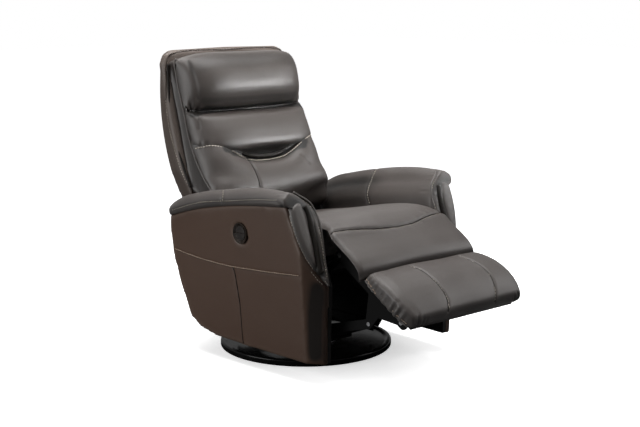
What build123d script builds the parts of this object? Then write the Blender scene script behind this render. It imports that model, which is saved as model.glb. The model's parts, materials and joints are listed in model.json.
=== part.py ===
import os
from math import cos, sin, sqrt, radians

from build123d import *

os.makedirs("parts", exist_ok=True)

# Millimetres. Origin on the floor at the centre of the round base, Z up, the seat faces -Y.
# The sitter's right arm, with the push buttons, is at -X.

# round swivel base
base_radius = 318
base_rim_height = 25
base_deck = 17
race_height = 8
race_radius = 85
race_width = 50
ball_diameter = 6
ball_count = 16
run_clearance = 0.1
seat_gap = 0.3
spindle_radius = 15
spindle_head = 26
swivel_plate_size = 260
swivel_plate_thickness = 8

# side plates stacked outwards from the cradle, with an air gap between each
plate = 5
layer_gap = 1.5
cradle_x = 201
glide_link_x = cradle_x + plate + layer_gap
frame_x = glide_link_x + plate + layer_gap
crank_x = frame_x + plate + layer_gap
coupler_x = crank_x + plate + layer_gap
rest_arm_x = coupler_x + plate + layer_gap

# glide linkage: links hang from the cradle and carry the seat frame
glide_pivot_y = 130
glide_top_z = 250
glide_length = 170
glide_low_z = glide_top_z - glide_length
glide_pin_radius = 6
bush_wall = 3
link_width = 36
cradle_rail = 42
post_width = 44

# leg-rest hinge, torque tube and the parallelogram that joins them
hinge_y = -430
hinge_z = 434
hinge_pin_radius = 8
rest_slope = radians(31.6)
tube_y = -110
tube_z = 345
tube_radius = 12
reach_y = -138
reach_z = -209
link_pin_radius = 7
link_end_radius = 16

# recline pivot
pivot_y = 250
pivot_z = 430
shaft_radius = 8

# seat
rail_top = 393
rail_depth = 33
rail_width = 30
strap_thickness = 3
strap_width = 60
strap_pitch = 80
seat_half_width = 262
seat_front_height = 535
seat_rear_height = 464
seat_rear_y = 150
seat_crown = 14
seat_edge = 14
front_rail_y = -325
rear_rail_y = 165

# leg rest pads, measured along the slope from the hinge and square to it
knuckle_core = 36
knuckle_wrap = 47
knuckle_rise = 5
knuckle_radius = max(knuckle_core + knuckle_wrap, seat_front_height - hinge_z + knuckle_rise)
knuckle_gap = 1.5
rest_drop = 36
rest_top = knuckle_radius - rest_drop
rest_crease = 146
rest_end = 392
board_low = 18
board_thickness = 12
board_half_width = 250
foot_half_width = 276
chaise_half_width = 266
rest_edge = 12
foot_top = 66
foot_crown = 14
chaise_crown = 8

# arms
arm_inner_x = 279
arm_ply = 15
panel_wall = 18
pad_drop = 90
arm_low_z = 72
arm_front_y = -440
arm_tip_z = 335
facing_rise = 267
facing_run = 100
facing_depth = 20
arm_stations = [
    (-333, 606, 650),
    (-230, 596, 651),
    (-110, 582, 640),
    (0, 565, 622),
    (130, 541, 597),
    (230, 516, 571),
    (284, 499, 545),
]
# outer face and hollow of the arm in plan: height, then x at the rear, middle and front
panel_plan = ((60, 372, 361, 350), (640, 400, 404, 393))
hollow_plan = ((90, 355, 344, 333), (640, 382, 386, 375))
hollow_top = 700
hollow_front = 22
hollow_rear = ((286, 398), (272, 365), (246, 271), (204, 177), (150, 118), (60, 99))

# back
back_half_width = 289
shell_half_width = 298
shell_low = 470
shell_high = 1085
shell_rear_low = 356
shell_rear_high = 495
shell_bulge = 46
shell_tuck = 560
shell_roll = 26
shell_seat = 1
shell_front_steps = 7
board_half = crank_x
back_board = 15
back_low = (262, 500)
back_mid = (348, 715)
back_high = (424, 1020)
pillow_gap = seat_gap
pillow_edge = 20

# shares of the half width at which each soft piece is drawn, with how far its edge is
# drawn in and how much of its crown it has there
soft_right = ((1, 1, 0.12), (0.955, 0.4, 0.4), (0.85, 0.1, 0.65), (0.5, 0, 0.92))
soft_shares = [(-share, edge, rise) for share, edge, rise in soft_right]
soft_shares += [(0, 0, 1)] + list(reversed(soft_right))

# control on the outside of the right arm
control_y = -100
control_z = 483
control_radius = 36
button_radius = 24
button_gap = 0.4
button_split = 3
control_face_x = -397


def back_circle():
    (y1, z1), (y2, z2), (y3, z3) = back_low, back_mid, back_high
    d = 2 * (y1 * (z2 - z3) + y2 * (z3 - z1) + y3 * (z1 - z2))
    s1, s2, s3 = y1**2 + z1**2, y2**2 + z2**2, y3**2 + z3**2
    cy = (s1 * (z2 - z3) + s2 * (z3 - z1) + s3 * (z1 - z2)) / d
    cz = (s1 * (y3 - y2) + s2 * (y1 - y3) + s3 * (y2 - y1)) / d
    return cy, cz, sqrt((y1 - cy) ** 2 + (z1 - cz) ** 2)


def board_y(z, behind=0.0):
    cy, cz, r = back_circle()
    return cy + sqrt((r + behind) ** 2 - (z - cz) ** 2)


def rest_plane(x):
    return Plane(
        origin=(x, hinge_y, hinge_z),
        x_dir=(0, -cos(rest_slope), -sin(rest_slope)),
        z_dir=(-1, 0, 0),
    )


def rest_local(dy, dz):
    along = -dy * cos(rest_slope) - dz * sin(rest_slope)
    square = -dy * sin(rest_slope) + dz * cos(rest_slope)
    return along, square


def around(radius, angle):
    return radius * cos(radians(angle)), radius * sin(radians(angle))


def bar(p, q, width):
    middle = ((p[0] + q[0]) / 2, (p[1] + q[1]) / 2)
    length = sqrt((q[0] - p[0]) ** 2 + (q[1] - p[1]) ** 2)
    turn = Vector(q[0] - p[0], q[1] - p[1]).get_signed_angle(Vector(1, 0), Vector(0, 0, -1))
    with Locations(middle):
        SlotCenterToCenter(length, width, rotation=turn)


# round base
with BuildPart() as base_plate:
    with BuildSketch(Plane.XZ):
        with BuildLine():
            Polyline((0, base_deck), (0, 0), (base_radius - 6, 0))
            ThreePointArc((base_radius - 6, 0), (base_radius - 2, 2), (base_radius, 6))
            Line((base_radius, 6), (base_radius, base_rim_height - 7))
            ThreePointArc(
                (base_radius, base_rim_height - 7),
                (base_radius - 2, base_rim_height - 2),
                (base_radius - 7, base_rim_height),
            )
            Polyline(
                (base_radius - 7, base_rim_height),
                (base_radius - 14, base_rim_height),
                (base_radius - 24, base_deck),
                (0, base_deck),
            )
        make_face()
    revolve(axis=Axis.Z)
base_plate.part.label = "base_plate"
export_step(base_plate.part, "parts/base_plate.step")

race_top = base_deck + race_height
with BuildPart() as swivel_lower_race:
    with BuildSketch(Plane.XY.offset(base_deck)):
        Circle(race_radius + race_width / 2)
        Circle(race_radius - race_width / 2, mode=Mode.SUBTRACT)
    extrude(amount=race_height)
swivel_lower_race.part.label = "swivel_lower_race"
export_step(swivel_lower_race.part, "parts/swivel_lower_race.step")

with BuildPart() as swivel_balls:
    with Locations((0, 0, race_top + ball_diameter / 2)):
        with PolarLocations(race_radius, ball_count):
            Sphere(ball_diameter / 2)
swivel_balls.part.label = "swivel_balls"
export_step(swivel_balls.part, "parts/swivel_balls.step")

swivel_low = race_top + ball_diameter + run_clearance
swivel_top = swivel_low + swivel_plate_thickness
with BuildPart() as spindle:
    with BuildSketch(Plane.XY.offset(base_deck)):
        Circle(spindle_radius)
    extrude(amount=swivel_top + 3 * run_clearance - base_deck)
    with BuildSketch(Plane.XY.offset(swivel_top + 3 * run_clearance)):
        RegularPolygon(spindle_head, 6)
    extrude(amount=9)
spindle.part.label = "spindle"
export_step(spindle.part, "parts/spindle.step")

# turntable and glide cradle
with BuildPart() as swivel_plate:
    with BuildSketch(Plane.XY.offset(swivel_low)):
        RectangleRounded(swivel_plate_size, swivel_plate_size, 30)
        Circle(spindle_radius + run_clearance, mode=Mode.SUBTRACT)
    extrude(amount=swivel_plate_thickness)
swivel_plate.part.label = "swivel_plate"
export_step(swivel_plate.part, "parts/swivel_plate.step")

cross_tube_height = 20
with BuildPart() as cradle_cross_tubes:
    with BuildSketch(Plane.YZ.offset(-cradle_x)):
        with Locations(
            (-swivel_plate_size / 2 + 30, swivel_top + cross_tube_height / 2),
            (swivel_plate_size / 2 - 30, swivel_top + cross_tube_height / 2),
        ):
            Rectangle(40, cross_tube_height)
            Rectangle(34, cross_tube_height - 6, mode=Mode.SUBTRACT)
    extrude(amount=2 * cradle_x)
cradle_cross_tubes.part.label = "cradle_cross_tubes"
export_step(cradle_cross_tubes.part, "parts/cradle_cross_tubes.step")

for side, sign in (("left", 1), ("right", -1)):
    with BuildPart() as cradle_side:
        with BuildSketch(Plane.YZ.offset(sign * cradle_x)):
            with Locations((0, swivel_top + cradle_rail / 2)):
                Rectangle(2 * glide_pivot_y + post_width, cradle_rail)
        extrude(amount=sign * plate)
    cradle_side.part.label = "cradle_side_" + side
    export_step(cradle_side.part, "parts/cradle_side_" + side + ".step")

post_foot = swivel_top + cradle_rail
with BuildPart() as cradle_posts:
    for sign in (1, -1):
        with BuildSketch(Plane.YZ.offset(sign * cradle_x)):
            for end in (-1, 1):
                with Locations((end * glide_pivot_y, (post_foot + glide_top_z) / 2)):
                    Rectangle(post_width, glide_top_z - post_foot)
                with Locations((end * glide_pivot_y, glide_top_z)):
                    Circle(post_width / 2)
                    Circle(glide_pin_radius, mode=Mode.SUBTRACT)
        extrude(amount=sign * plate)
cradle_posts.part.label = "cradle_posts"
export_step(cradle_posts.part, "parts/cradle_posts.step")

pin_tip = 0.6
with BuildPart() as glide_upper_pins:
    for sign in (1, -1):
        with BuildSketch(Plane.YZ.offset(sign * cradle_x)):
            with Locations((-glide_pivot_y, glide_top_z), (glide_pivot_y, glide_top_z)):
                Circle(glide_pin_radius)
        extrude(amount=sign * (frame_x - pin_tip - cradle_x))
glide_upper_pins.part.label = "glide_upper_pins"
export_step(glide_upper_pins.part, "parts/glide_upper_pins.step")

# glide links
for end_name, end in (("front", -1), ("rear", 1)):
    top = (end * glide_pivot_y, glide_top_z)
    low = (end * glide_pivot_y, glide_low_z)
    with BuildPart() as glide_links:
        for sign in (1, -1):
            with BuildSketch(Plane.YZ.offset(sign * glide_link_x)):
                bar(top, low, link_width)
                with Locations(top, low):
                    Circle(glide_pin_radius + bush_wall, mode=Mode.SUBTRACT)
            extrude(amount=sign * plate)
    glide_links.part.label = end_name + "_glide_links"
    export_step(glide_links.part, "parts/" + end_name + "_glide_links.step")

    with BuildPart() as link_bushes:
        for sign in (1, -1):
            with BuildSketch(Plane.YZ.offset(sign * glide_link_x)):
                with Locations(top, low):
                    Circle(glide_pin_radius + bush_wall)
                    Circle(glide_pin_radius + run_clearance, mode=Mode.SUBTRACT)
            extrude(amount=sign * plate)
    link_bushes.part.label = end_name + "_link_bushes"
    export_step(link_bushes.part, "parts/" + end_name + "_link_bushes.step")

# seat frame
neck_foot = (hinge_y + 110 * 0.766, hinge_z - 110 * 0.643)
for side, sign in (("left", 1), ("right", -1)):
    with BuildPart() as side_frame:
        with BuildSketch(Plane.YZ.offset(sign * frame_x)):
            with BuildLine():
                Polyline(
                    (-glide_pivot_y - 35, glide_low_z - 23),
                    (glide_pivot_y + 35, glide_low_z - 23),
                    (glide_pivot_y + 45, glide_low_z + 30),
                    (pivot_y + 3, pivot_z - 130),
                    (pivot_y + 15, pivot_z - 20),
                    (pivot_y + 15, pivot_z),
                    (pivot_y - 24, pivot_z),
                    (pivot_y - 45, rail_top - 15),
                    (neck_foot[0] + 10, rail_top - 15),
                    (neck_foot[0] - 10, rail_top - 30),
                    (neck_foot[0] + 10, rail_top - 70),
                    (-glide_pivot_y - 35, glide_low_z - 23),
                )
            make_face()
            bar((hinge_y, hinge_z), neck_foot, 26)
            with Locations((hinge_y, hinge_z)):
                Circle(20)
            with Locations((pivot_y, pivot_z)):
                Circle(25)
            with Locations((-60, 215), (60, 215), (165, 260)):
                Circle(38, mode=Mode.SUBTRACT)
            with Locations((-glide_pivot_y, glide_low_z), (glide_pivot_y, glide_low_z)):
                Circle(glide_pin_radius, mode=Mode.SUBTRACT)
            with Locations((hinge_y, hinge_z)):
                Circle(hinge_pin_radius, mode=Mode.SUBTRACT)
            with Locations((tube_y, tube_z)):
                Circle(tube_radius + run_clearance, mode=Mode.SUBTRACT)
            with Locations((pivot_y, pivot_z)):
                Circle(shaft_radius + run_clearance, mode=Mode.SUBTRACT)
        extrude(amount=sign * plate)
    side_frame.part.label = "side_frame_" + side
    export_step(side_frame.part, "parts/side_frame_" + side + ".step")

with BuildPart() as glide_lower_pins:
    for sign in (1, -1):
        with BuildSketch(Plane.YZ.offset(sign * (frame_x + plate))):
            with Locations((-glide_pivot_y, glide_low_z), (glide_pivot_y, glide_low_z)):
                Circle(glide_pin_radius)
        extrude(amount=-sign * (frame_x + plate - cradle_x - plate - pin_tip))
glide_lower_pins.part.label = "glide_lower_pins"
export_step(glide_lower_pins.part, "parts/glide_lower_pins.step")

with BuildPart() as rest_hinge_pins:
    for sign in (1, -1):
        with BuildSketch(Plane.YZ.offset(sign * frame_x)):
            with Locations((hinge_y, hinge_z)):
                Circle(hinge_pin_radius)
        extrude(amount=sign * (rest_arm_x + plate + 1 - frame_x))
        with BuildSketch(Plane.YZ.offset(sign * (frame_x + plate))):
            with Locations((hinge_y, hinge_z)):
                Circle(hinge_pin_radius + 5)
        extrude(amount=sign * (rest_arm_x - run_clearance * 3 - frame_x - plate))
rest_hinge_pins.part.label = "rest_hinge_pins"
export_step(rest_hinge_pins.part, "parts/rest_hinge_pins.step")

for rail_name, rail_y in (("front", front_rail_y), ("rear", rear_rail_y)):
    with BuildPart() as seat_rail:
        with BuildSketch(Plane.YZ.offset(-frame_x)):
            with Locations((rail_y, rail_top - rail_depth / 2)):
                Rectangle(rail_width, rail_depth)
        extrude(amount=2 * frame_x)
    seat_rail.part.label = "seat_" + rail_name + "_rail"
    export_step(seat_rail.part, "parts/seat_" + rail_name + "_rail.step")

with BuildPart() as seat_webbing:
    with BuildSketch(Plane.XY.offset(rail_top)):
        for step in range(-2, 3):
            with Locations((step * strap_pitch, (front_rail_y + rear_rail_y) / 2)):
                Rectangle(strap_width, rear_rail_y - front_rail_y + rail_width)
    extrude(amount=strap_thickness)
seat_webbing.part.label = "seat_webbing"
export_step(seat_webbing.part, "parts/seat_webbing.step")

seat_floor = rail_top + strap_thickness
with BuildPart() as seat_cushion:
    for share, edge, rise in soft_shares:
        inset = edge * seat_edge
        crown = rise * seat_crown
        cut = knuckle_radius + knuckle_gap + inset * 0.3
        low = seat_floor
        high = seat_front_height - inset
        low_y = hinge_y + sqrt(cut**2 - (hinge_z - low) ** 2)
        high_y = hinge_y + sqrt(cut**2 - (high - hinge_z) ** 2)
        rear = seat_rear_y - inset
        with BuildSketch(Plane.YZ.offset(share * seat_half_width)):
            with BuildLine():
                Line((rear, low), (low_y, low))
                ThreePointArc((low_y, low), (hinge_y + cut, hinge_z), (high_y, high))
                ThreePointArc(
                    (high_y, high),
                    ((high_y + rear) / 2, (high + seat_rear_height - inset) / 2 + crown),
                    (rear, seat_rear_height - inset),
                )
                Line((rear, seat_rear_height - inset), (rear, low))
            make_face()
    loft(ruled=True)
seat_cushion.part.label = "seat_cushion"
export_step(seat_cushion.part, "parts/seat_cushion.step")

# arms
bracket_spots = ((-270, rail_top - 32), (120, rail_top - 32), (110, glide_low_z + 20))
with BuildPart() as arm_brackets:
    for sign in (1, -1):
        with BuildSketch(Plane.YZ.offset(sign * (frame_x + plate))):
            with Locations(*bracket_spots):
                Rectangle(40, 30)
                Rectangle(34, 24, mode=Mode.SUBTRACT)
        extrude(amount=sign * (arm_inner_x - frame_x - plate))
arm_brackets.part.label = "arm_brackets"
export_step(arm_brackets.part, "parts/arm_brackets.step")

arm_rear = ((304, 440), (298, 365), (272, 271), (233, 177), (213, 132), (165, 99), (62, 80))
facing_length = sqrt(facing_rise**2 + facing_run**2)
facing_plane = Plane(
    origin=(0, arm_front_y, arm_tip_z),
    x_dir=(1, 0, 0),
    z_dir=(0, -facing_rise / facing_length, facing_run / facing_length),
)
pad_front_z = arm_stations[0][1] - pad_drop
pad_front_y = arm_front_y + (pad_front_z - arm_tip_z) * facing_run / facing_rise
frame_top = [(pad_front_y, pad_front_z)] + [(y, lip - pad_drop) for y, lip, crest in arm_stations]
panel_top = [(y, lip) for y, lip, crest in arm_stations] + [(arm_rear[0][0] - 4, 493)]
outer_x = arm_inner_x + arm_ply

for side, sign in (("left", 1), ("right", -1)):
    with BuildPart() as arm_frame:
        with BuildSketch(Plane.YZ.offset(sign * arm_inner_x)):
            with BuildLine():
                Polyline(
                    *frame_top,
                    (arm_rear[1][0] - 4, arm_rear[1][1]),
                    *arm_rear[2:],
                    (arm_front_y + 8, arm_low_z),
                    (arm_front_y, arm_tip_z),
                    close=True,
                )
            make_face()
        extrude(amount=sign * arm_ply)
    arm_frame.part.label = "arm_frame_" + side
    export_step(arm_frame.part, "parts/arm_frame_" + side + ".step")

    with BuildPart() as arm_outer:
        for z, rear_x, mid_x, front_x in panel_plan:
            with BuildSketch(Plane.XY.offset(z)):
                with BuildLine():
                    Line((sign * outer_x, arm_front_y - 10), (sign * outer_x, 340))
                    Line((sign * outer_x, 340), (sign * rear_x, 340))
                    ThreePointArc((sign * rear_x, 340), (sign * mid_x, -40), (sign * front_x, -390))
                    ThreePointArc(
                        (sign * front_x, -390),
                        (sign * (front_x + 2 * outer_x) / 3, -433),
                        (sign * outer_x, arm_front_y - 10),
                    )
                make_face()
        loft(ruled=True)
        with BuildSketch(Plane.YZ.offset(sign * (outer_x - 20))):
            with BuildLine():
                Polyline(
                    *panel_top,
                    *arm_rear,
                    (arm_front_y + 8, arm_low_z),
                    (arm_front_y, arm_tip_z),
                    close=True,
                )
            make_face()
        extrude(amount=sign * 200, mode=Mode.INTERSECT)
        for z, rear_x, mid_x, front_x in hollow_plan:
            with BuildSketch(Plane.XY.offset(z)):
                with BuildLine():
                    Line((sign * outer_x, -418), (sign * outer_x, 320))
                    Line((sign * outer_x, 320), (sign * rear_x, 320))
                    ThreePointArc((sign * rear_x, 320), (sign * mid_x, -40), (sign * front_x, -380))
                    ThreePointArc(
                        (sign * front_x, -380),
                        (sign * (front_x + 2 * outer_x) / 3, -412),
                        (sign * outer_x, -418),
                    )
                make_face()
        void = loft(ruled=True, mode=Mode.PRIVATE)
        with BuildSketch(Plane.YZ.offset(sign * (outer_x - 20)), mode=Mode.PRIVATE) as void_side:
            with BuildLine():
                Polyline(
                    (arm_front_y + hollow_front, arm_low_z + panel_wall),
                    (arm_front_y + hollow_front, hollow_top),
                    (hollow_rear[0][0], hollow_top),
                    *hollow_rear,
                    close=True,
                )
            make_face()
        limit = extrude(void_side.sketch, amount=sign * 200, mode=Mode.PRIVATE)
        add(void & limit, mode=Mode.SUBTRACT)
        if sign < 0:
            with BuildSketch(Plane.YZ.offset(-outer_x)):
                with Locations((control_y, control_z)):
                    Circle(control_radius)
            extrude(amount=-150, mode=Mode.SUBTRACT)
    arm_outer.part.label = "arm_outer_" + side
    export_step(arm_outer.part, "parts/arm_outer_" + side + ".step")

    with BuildPart() as arm_pad:
        for y, lip, crest in arm_stations:
            plane = Plane(origin=(0, y, 0), x_dir=(1, 0, 0), z_dir=(0, -1, 0))
            with BuildSketch(plane):
                with BuildLine():
                    ThreePointArc(
                        (sign * 268, lip - pad_drop),
                        (sign * 281, lip - 32),
                        (sign * 322, lip + 12),
                    )
                    ThreePointArc(
                        (sign * 322, lip + 12),
                        (sign * 350, (lip + 12 + crest) / 2 + 8),
                        (sign * 378, crest),
                    )
                    ThreePointArc(
                        (sign * 378, crest),
                        (sign * 400, (crest + lip + 8) / 2 + 8),
                        (sign * 407, lip + 8),
                    )
                    Polyline(
                        (sign * 407, lip + 8),
                        (sign * 403, lip),
                        (sign * 370, lip),
                        (sign * 360, lip - pad_drop),
                        (sign * 268, lip - pad_drop),
                    )
                make_face()
        loft(ruled=True)
    arm_pad.part.label = "arm_pad_" + side
    export_step(arm_pad.part, "parts/arm_pad_" + side + ".step")

    with BuildPart() as arm_facing:
        for out, inset in ((0, 0), (facing_depth * 0.6, 3), (facing_depth, 13)):
            with BuildSketch(facing_plane.offset(out)):
                with BuildLine():
                    Line((sign * (298 + inset), 2 + inset), (sign * (303 + inset), 272 - inset))
                    ThreePointArc(
                        (sign * (303 + inset), 272 - inset),
                        (sign * 350, 298 - inset),
                        (sign * (390 - inset), 278 - inset),
                    )
                    ThreePointArc(
                        (sign * (390 - inset), 278 - inset),
                        (sign * (370 - inset), 115),
                        (sign * (298 + inset), 2 + inset),
                    )
                make_face()
        loft()
    arm_facing.part.label = "arm_facing_" + side
    export_step(arm_facing.part, "parts/arm_facing_" + side + ".step")

# rear panel and power inlet
panel_line = ((216, 152), (270, 271), (300, 380))
panel_thickness = 14
with BuildPart() as rear_panel:
    with BuildSketch(Plane.YZ.offset(-arm_inner_x)):
        with BuildLine():
            Polyline(
                *panel_line,
                (panel_line[2][0] - panel_thickness, panel_line[2][1]),
                (panel_line[1][0] - panel_thickness, panel_line[1][1]),
                (panel_line[0][0] - panel_thickness, panel_line[0][1]),
                close=True,
            )
        make_face()
    extrude(amount=2 * arm_inner_x)
rear_panel.part.label = "rear_panel"
export_step(rear_panel.part, "parts/rear_panel.step")

panel_run = panel_line[1][0] - panel_line[0][0]
panel_rise = panel_line[1][1] - panel_line[0][1]
panel_length = sqrt(panel_run**2 + panel_rise**2)
inlet_plane = Plane(
    origin=(150, (panel_line[0][0] + panel_line[1][0]) / 2, (panel_line[0][1] + panel_line[1][1]) / 2),
    x_dir=(1, 0, 0),
    z_dir=(0, panel_rise / panel_length, -panel_run / panel_length),
)
with BuildPart() as power_inlet:
    with BuildSketch(inlet_plane):
        RectangleRounded(44, 28, 6)
    extrude(amount=6)
    with BuildSketch(inlet_plane.offset(6)):
        Circle(5)
    extrude(amount=-4, mode=Mode.SUBTRACT)
power_inlet.part.label = "power_inlet"
export_step(power_inlet.part, "parts/power_inlet.step")

# drives
with BuildPart() as motor_beam:
    with BuildSketch(Plane.YZ.offset(-frame_x)):
        with Locations((tube_y, tube_z - 35 - 12)):
            Rectangle(40, 24)
            Rectangle(34, 18, mode=Mode.SUBTRACT)
    extrude(amount=2 * frame_x)
motor_beam.part.label = "motor_beam"
export_step(motor_beam.part, "parts/motor_beam.step")

with BuildPart() as legrest_gearbox:
    with BuildSketch(Plane.YZ.offset(-40)):
        with Locations((tube_y, tube_z)):
            RectangleRounded(70, 70, 12)
            Circle(tube_radius + run_clearance, mode=Mode.SUBTRACT)
    extrude(amount=80)
legrest_gearbox.part.label = "legrest_gearbox"
export_step(legrest_gearbox.part, "parts/legrest_gearbox.step")

with BuildPart() as legrest_motor:
    with BuildSketch(Plane(origin=(0, tube_y + 35, tube_z), x_dir=(1, 0, 0), z_dir=(0, 1, 0))):
        Circle(28)
    extrude(amount=110)
legrest_motor.part.label = "legrest_motor"
export_step(legrest_motor.part, "parts/legrest_motor.step")

gear_half = 32
gear_low = pivot_z - gear_half
with BuildPart() as recline_bracket:
    with BuildSketch(Plane.XY.offset(gear_low - 36)):
        with Locations((75, (rear_rail_y + rail_width / 2 + pivot_y - 28) / 2)):
            Rectangle(64, pivot_y - 28 - rear_rail_y - rail_width / 2)
    extrude(amount=36)
recline_bracket.part.label = "recline_bracket"
export_step(recline_bracket.part, "parts/recline_bracket.step")

with BuildPart() as recline_gearbox:
    with BuildSketch(Plane.YZ.offset(43)):
        with Locations((pivot_y, pivot_z)):
            RectangleRounded(2 * gear_half, 2 * gear_half, 10)
            Circle(shaft_radius + run_clearance, mode=Mode.SUBTRACT)
    extrude(amount=64)
recline_gearbox.part.label = "recline_gearbox"
export_step(recline_gearbox.part, "parts/recline_gearbox.step")

with BuildPart() as recline_motor:
    with BuildSketch(Plane.XY.offset(gear_low)):
        with Locations((75, pivot_y - 6)):
            Circle(22)
    extrude(amount=-70)
recline_motor.part.label = "recline_motor"
export_step(recline_motor.part, "parts/recline_motor.step")

# leg-rest linkage
with BuildPart() as torque_tube:
    with BuildSketch(Plane.YZ.offset(-crank_x - plate)):
        with Locations((tube_y, tube_z)):
            Circle(tube_radius)
            Circle(tube_radius - 3, mode=Mode.SUBTRACT)
    extrude(amount=2 * (crank_x + plate))
torque_tube.part.label = "torque_tube"
export_step(torque_tube.part, "parts/torque_tube.step")

crank_end = (tube_y + reach_y, tube_z + reach_z)
rest_end_pin = (hinge_y + reach_y, hinge_z + reach_z)
with BuildPart() as crank_arms:
    for sign in (1, -1):
        with BuildSketch(Plane.YZ.offset(sign * crank_x)):
            bar((tube_y, tube_z), crank_end, 2 * link_end_radius)
            with Locations((tube_y, tube_z)):
                Circle(22)
                Circle(tube_radius, mode=Mode.SUBTRACT)
            with Locations(crank_end):
                Circle(link_pin_radius + run_clearance, mode=Mode.SUBTRACT)
        extrude(amount=sign * plate)
crank_arms.part.label = "crank_arms"
export_step(crank_arms.part, "parts/crank_arms.step")

with BuildPart() as legrest_couplers:
    for sign in (1, -1):
        with BuildSketch(Plane.YZ.offset(sign * coupler_x)):
            bar(crank_end, rest_end_pin, 2 * link_end_radius)
            with Locations(crank_end, rest_end_pin):
                Circle(link_pin_radius, mode=Mode.SUBTRACT)
        extrude(amount=sign * plate)
legrest_couplers.part.label = "legrest_couplers"
export_step(legrest_couplers.part, "parts/legrest_couplers.step")

with BuildPart() as coupler_pins:
    for sign in (1, -1):
        with BuildSketch(Plane.YZ.offset(sign * (crank_x - 0.5))):
            with Locations(crank_end):
                Circle(link_pin_radius)
        extrude(amount=sign * (coupler_x + plate - crank_x + 0.5))
        with BuildSketch(Plane.YZ.offset(sign * coupler_x)):
            with Locations(rest_end_pin):
                Circle(link_pin_radius)
        extrude(amount=sign * (rest_arm_x + plate + 0.5 - coupler_x))
coupler_pins.part.label = "coupler_pins"
export_step(coupler_pins.part, "parts/coupler_pins.step")

# leg rest
elbow = rest_local(reach_y, reach_z)
bolt_along = 344
with BuildPart() as legrest_arms:
    for sign in (1, -1):
        with BuildSketch(rest_plane(sign * rest_arm_x)):
            bar((0, 0), (bolt_along, 0), 2 * board_low)
            with BuildLine():
                Polyline(
                    (150, 0),
                    (bolt_along, 0),
                    (bolt_along - 6, -12),
                    (250, -58),
                    (elbow[0] + link_end_radius, elbow[1] + 4),
                    (elbow[0] - link_end_radius, elbow[1] + 4),
                    (175, -20),
                    (150, 0),
                )
            make_face()
            with Locations(elbow):
                Circle(link_end_radius)
                Circle(link_pin_radius + run_clearance, mode=Mode.SUBTRACT)
            with Locations((0, 0)):
                Circle(hinge_pin_radius + run_clearance, mode=Mode.SUBTRACT)
        extrude(amount=-sign * plate)
legrest_arms.part.label = "legrest_arms"
export_step(legrest_arms.part, "parts/legrest_arms.step")

with BuildPart() as legrest_cross_bars:
    with BuildSketch(rest_plane(rest_arm_x)):
        with Locations((190, board_low - 8), (330, board_low - 8)):
            Rectangle(30, 16)
            Rectangle(25, 11, mode=Mode.SUBTRACT)
    extrude(amount=2 * rest_arm_x)
legrest_cross_bars.part.label = "legrest_cross_bars"
export_step(legrest_cross_bars.part, "parts/legrest_cross_bars.step")

with BuildPart() as legrest_bolts:
    for sign in (1, -1):
        with BuildSketch(rest_plane(sign * (rest_arm_x + plate))):
            with Locations((bolt_along - 6, 2), (190, board_low - 8)):
                RegularPolygon(8, 6)
        extrude(amount=-sign * 5)
legrest_bolts.part.label = "legrest_bolts"
export_step(legrest_bolts.part, "parts/legrest_bolts.step")

board_top = board_low + board_thickness
with BuildPart() as ottoman_board:
    with BuildSketch(rest_plane(board_half_width)):
        with Locations(((rest_crease + 14 + rest_end - 6) / 2, board_low + board_thickness / 2)):
            Rectangle(rest_end - rest_crease - 20, board_thickness)
    extrude(amount=2 * board_half_width)
ottoman_board.part.label = "ottoman_board"
export_step(ottoman_board.part, "parts/ottoman_board.step")

with BuildPart() as foot_pad:
    for share, edge, rise in soft_shares:
        inset = edge * rest_edge
        crown = rise * foot_crown
        near = rest_crease + 6 + inset * 0.5
        far = rest_end - inset * 0.5
        with BuildSketch(rest_plane(share * foot_half_width)):
            with BuildLine():
                Line((near, board_top), (far, board_top))
                ThreePointArc(
                    (far, board_top),
                    (far + 10, board_top + 22 - inset * 0.5),
                    (far - 6, foot_top + 12 - inset),
                )
                ThreePointArc(
                    (far - 6, foot_top + 12 - inset),
                    ((near + far) / 2, foot_top + 12 - inset + crown),
                    (near + 8, foot_top - 2 - inset),
                )
                Line((near + 8, foot_top - 2 - inset), (near, board_top))
            make_face()
    loft(ruled=True)
foot_pad.part.label = "foot_pad"
export_step(foot_pad.part, "parts/foot_pad.step")

knuckle_turn = 184
with BuildPart() as chaise_pad:
    for share, edge, rise in soft_shares:
        inset = edge * rest_edge
        crown = rise * chaise_crown
        outer = knuckle_radius - inset
        level = rest_top - inset
        back = -sqrt(outer**2 - level**2)
        front = rest_crease - inset * 0.3
        with BuildSketch(rest_plane(share * chaise_half_width)):
            with BuildLine():
                ThreePointArc((back, level), around(outer, 160), around(outer, knuckle_turn))
                Line(around(outer, knuckle_turn), around(knuckle_core, knuckle_turn))
                ThreePointArc(
                    around(knuckle_core, knuckle_turn),
                    around(knuckle_core, 135),
                    (0, knuckle_core),
                )
                Line((0, knuckle_core), (front, board_low + seat_gap))
                Line((front, board_low + seat_gap), (front, level - 6))
                ThreePointArc(
                    (front, level - 6), ((front + back) / 2, level + crown), (back, level)
                )
            make_face()
    loft(ruled=True)
chaise_pad.part.label = "chaise_pad"
export_step(chaise_pad.part, "parts/chaise_pad.step")

# backrest
with BuildPart() as recline_shaft:
    with BuildSketch(Plane.YZ.offset(-crank_x - plate)):
        with Locations((pivot_y, pivot_z)):
            Circle(shaft_radius)
    extrude(amount=2 * (crank_x + plate))
recline_shaft.part.label = "recline_shaft"
export_step(recline_shaft.part, "parts/recline_shaft.step")

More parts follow.
